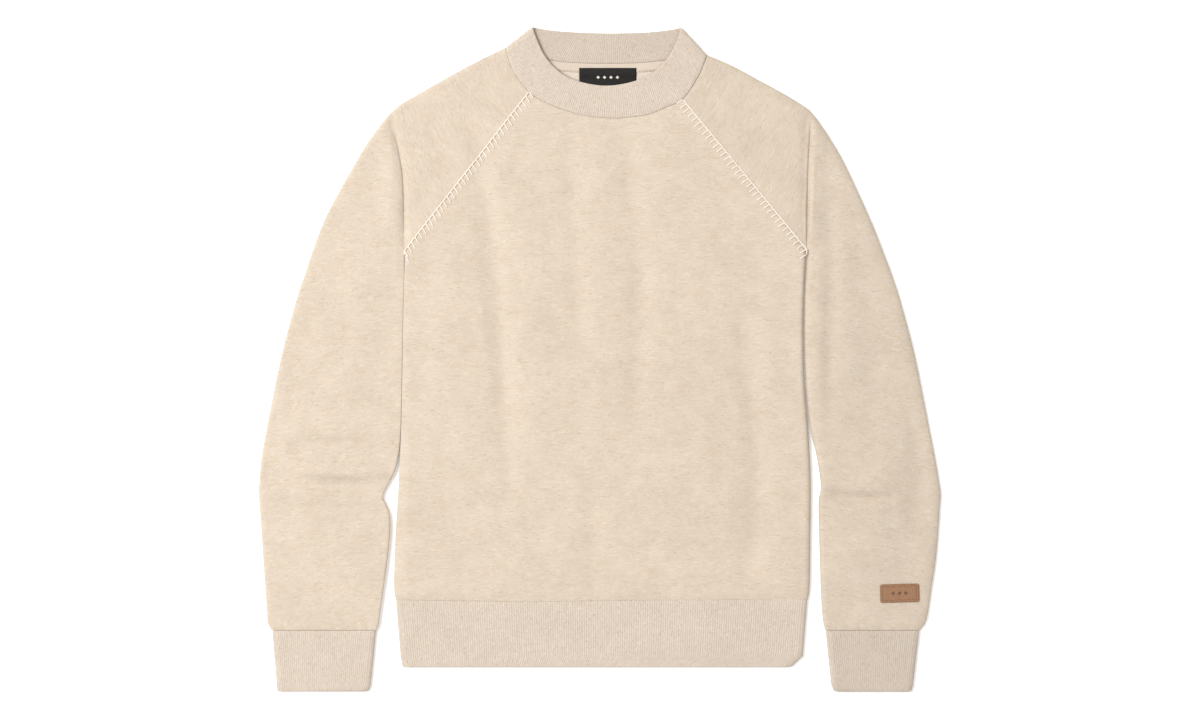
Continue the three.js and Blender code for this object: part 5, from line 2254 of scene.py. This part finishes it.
@dataclass
class BlanketStitch:
    """Thick cream blanket stitching along a front raglan seam."""

    side: Side
    foot: tuple[float, float]
    top: tuple[float, float]
    leg: tuple[float, float]
    length: float
    stitches: int
    bend: tuple[float, float]
    seed: int
    radius: float = 0.8
    sides: int = 8
    hook: float = 0.7
    jitter: float = 0.22
    sway: float = 0.05
    lengths: tuple[float, float] = (0.9, 1.06)
    thins: tuple[float, float] = (0.86, 1.0)

    def build(self, drape: Drape, wardrobe: Wardrobe) -> bpy.types.Object:
        """Builds and dresses the stitching.

        Args:
            drape: The shared form.
            wardrobe: The finishes.

        Returns:
            The piece.
        """
        rng = np.random.default_rng(self.seed)
        foot, top = np.array(self.foot), np.array(self.top)
        along = unit(foot - top)
        leg = unit(np.array(self.leg))
        outward = -unit(leg - along * float(leg @ along))
        pitch = float(np.linalg.norm(foot - top)) / self.stitches
        reached = pitch * np.arange(self.stitches + 1) + rng.normal(0, self.jitter, self.stitches + 1)
        starts = top + along * reached[:, None]
        starts = np.vstack([starts, starts[-1] + np.array(self.bend)])
        shell = Shell()
        thread(shell, self.spine(drape, starts, outward), self.radius, self.sides)
        t = np.linspace(0, 1, 11)
        lift = 0.3 + 0.15 * np.sin(math.pi * t) - np.clip((t - 0.86) / 0.14, 0, 1) ** 2
        hook = along * self.hook * (t[:, None] ** 3 - 0.4)
        for k, start in enumerate(starts):
            way = unit(leg + along * rng.normal(0, self.sway))
            reach = self.length * rng.uniform(*self.lengths)
            flat = start + outward * 0.3 + way * (t[:, None] * reach) + hook
            line = np.column_stack([flat, drape.cloth.height(flat[:, 0], flat[:, 1]) + lift])
            thread(shell, line, self.radius * rng.uniform(*self.thins), self.sides, 3.0 * k)
        return dress(shell.piece("blanket_stitch_" + self.side.value, [wardrobe.cream]), "fleece")

    @staticmethod
    def spine(drape: Drape, starts: Points, outward: np.ndarray) -> Points:
        """Sets out the yarn that runs along the seam and joins the stitches.

        Args:
            drape: The shared form.
            starts: Where the stitches start.
            outward: Direction in which the yarn bows between two of them.

        Returns:
            Rows of x, y, z.
        """
        t = np.linspace(0, 1, 8, endpoint=False)[:, None]
        bow = 0.05 + 0.3 * np.sin(math.pi * t) ** 0.8
        flat = np.vstack([a * (1 - t) + b * t + outward * bow for a, b in zip(starts, starts[1:])])
        rise = 0.2 + np.tile(0.2 * np.sin(math.pi * t[:, 0]), len(starts) - 1)
        return np.column_stack([flat, drape.cloth.height(flat[:, 0], flat[:, 1]) + rise])


@dataclass
class Studio:
    """Pale floor, soft light and the camera straight above."""

    frame_width: float = 1.344
    centre: tuple[float, float] = (0.0003, -0.0008)
    middle_height: float = 0.006
    lens: float = 100.0
    sensor: float = 36.0
    key_place: tuple[float, float, float] = (-2.7, 0.9, 4.3)
    key_size: float = 2.8
    key_power: float = 269.0
    fill: float = 0.641

    def build(self, wardrobe: Wardrobe) -> None:
        """Sets up the studio.

        Args:
            wardrobe: The finishes.
        """
        scene = bpy.context.scene
        self.floor(wardrobe.floor)
        world = bpy.data.worlds.new("studio")
        world.use_nodes = True
        background = world.node_tree.nodes["Background"]
        background.inputs[0].default_value = (1.0, 1.0, 1.0, 1.0)
        background.inputs[1].default_value = self.fill
        scene.world = world
        self.light()
        data = bpy.data.cameras.new("camera")
        data.lens = self.lens
        data.sensor_width = self.sensor
        camera = stand(bpy.data.objects.new("camera", data))
        camera.location = (*self.centre, self.frame_width * self.lens / self.sensor + self.middle_height)
        scene.camera = camera
        scene.view_settings.view_transform = "Standard"

    @staticmethod
    def floor(paper: bpy.types.Material, size: float = 4.0, cells: int = 8, drop: float = 0.0002) -> None:
        """Lays the floor.

        Args:
            paper: Its material.
            size: Half of its width.
            cells: Number of faces along it.
            drop: How far it lies below the garment.
        """
        steps = np.linspace(-size, size, cells + 1)
        points = [(x, y, -drop) for y in steps for x in steps]
        ids = np.arange(len(points)).reshape(cells + 1, cells + 1)
        corners = np.stack([ids[:-1, :-1], ids[:-1, 1:], ids[1:, 1:], ids[1:, :-1]], -1)
        mesh = bpy.data.meshes.new("floor")
        mesh.from_pydata(points, [], corners.reshape(-1, 4).tolist())
        mesh.materials.append(paper)
        stand(bpy.data.objects.new("floor", mesh))

    def light(self) -> None:
        """Hangs a soft square light that looks at the middle of the garment."""
        data = bpy.data.lights.new("key", "AREA")
        data.size = self.key_size
        data.energy = self.key_power
        lamp = stand(bpy.data.objects.new("key", data))
        x, y, z = lamp.location = self.key_place
        lamp.rotation_euler = (math.atan2(math.hypot(x, y), z), 0.0, math.atan2(-x, y) + math.pi)


# Flat sizes of the pieces in metres, and the share of such a rectangle that the bands and the tape fill.
BACK_CUT, FRONT_CUT, SLEEVE_CUT = (0.47, 0.61), (0.47, 0.58), (0.54, 0.72)
NECKBAND_CUT, HEM_CUT, CUFF_CUTS = (0.58, 0.04), (0.93, 0.076), ((0.235, 0.07), (0.213, 0.07))
TAPE_CUT, LABEL_CUT = (0.172, 0.0105), (0.064, 0.0425)
HEM_SHARE, CUFF_SHARE, TAPE_SHARE = 0.98, 0.94, 0.99


def main() -> None:
    logging.basicConfig(level=logging.INFO, format="%(name)s: %(message)s")
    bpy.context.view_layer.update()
    wardrobe = Wardrobe()
    drape = Drape()
    Studio().build(wardrobe)

    panels = Panel(Half.BACK, 18, 26, 70), Panel(Half.FRONT, 46, 60, 200)
    back, front = (panel.build(drape, wardrobe) for panel in panels)
    sleeves = (Sleeve(Side.RIGHT, SHOULDER_RIGHT, ARM_RIGHT, (0.3, 6.0)),
               Sleeve(Side.LEFT, SHOULDER_LEFT, ARM_LEFT, (5.0, 13.0)))
    arms = [sleeve.build(drape, wardrobe) for sleeve in sleeves]
    neckband = Neckband()
    band = neckband.build(drape, wardrobe)
    hem_seam = Path(spline(HEM_SEAM, 12)).moved(-HALF_GAP)
    hem = RibRing("hem_band", HEM_BAND, hem_seam).build(drape.hem, wardrobe)
    cuffs = [RibRing(node, cuff_table).build(drape.cuffs, wardrobe)
             for node, cuff_table in (("cuff_wearer_right", CUFF_RIGHT), ("cuff_wearer_left", CUFF_LEFT))]
    neck_tape = NeckTape()
    tape = neck_tape.build(wardrobe)
    neck_tape.sew(wardrobe)
    label = NeckLabel().build(wardrobe)
    SleevePatch().build(drape, wardrobe)
    BlanketStitch(Side.RIGHT, (-218.6, 121.0), (-79.2, 299.0), leg=(0.58, -0.81), length=9.2, stitches=35,
                  bend=(0.5, -5.5), seed=5).build(drape, wardrobe)
    BlanketStitch(Side.LEFT, (231.6, 123.0), (93.2, 290.6), leg=(-0.86, -0.51), length=8.8, stitches=34,
                  bend=(-0.7, -6.0), seed=6).build(drape, wardrobe)

    sheets = [
        (back, BACK_CUT, [], panels[0].area),
        (front, FRONT_CUT, [back.name], panels[1].area),
        *((arm, SLEEVE_CUT, [], 2 * sleeve.area) for arm, sleeve in zip(arms, sleeves)),
        (band, NECKBAND_CUT, [back.name], neckband.area),
        (hem, HEM_CUT, [], math.prod(HEM_CUT) * HEM_SHARE),
        *((cuff, cut, [], math.prod(cut) * CUFF_SHARE) for cuff, cut in zip(cuffs, CUFF_CUTS)),
        (tape, TAPE_CUT, [back.name], math.prod(TAPE_CUT) * TAPE_SHARE),
        (label, LABEL_CUT, [back.name, tape.name], math.prod(LABEL_CUT)),
    ]
    for piece, flat, rests_on, area in sheets:
        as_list(rests_on)


if __name__ == "__main__":
    main()
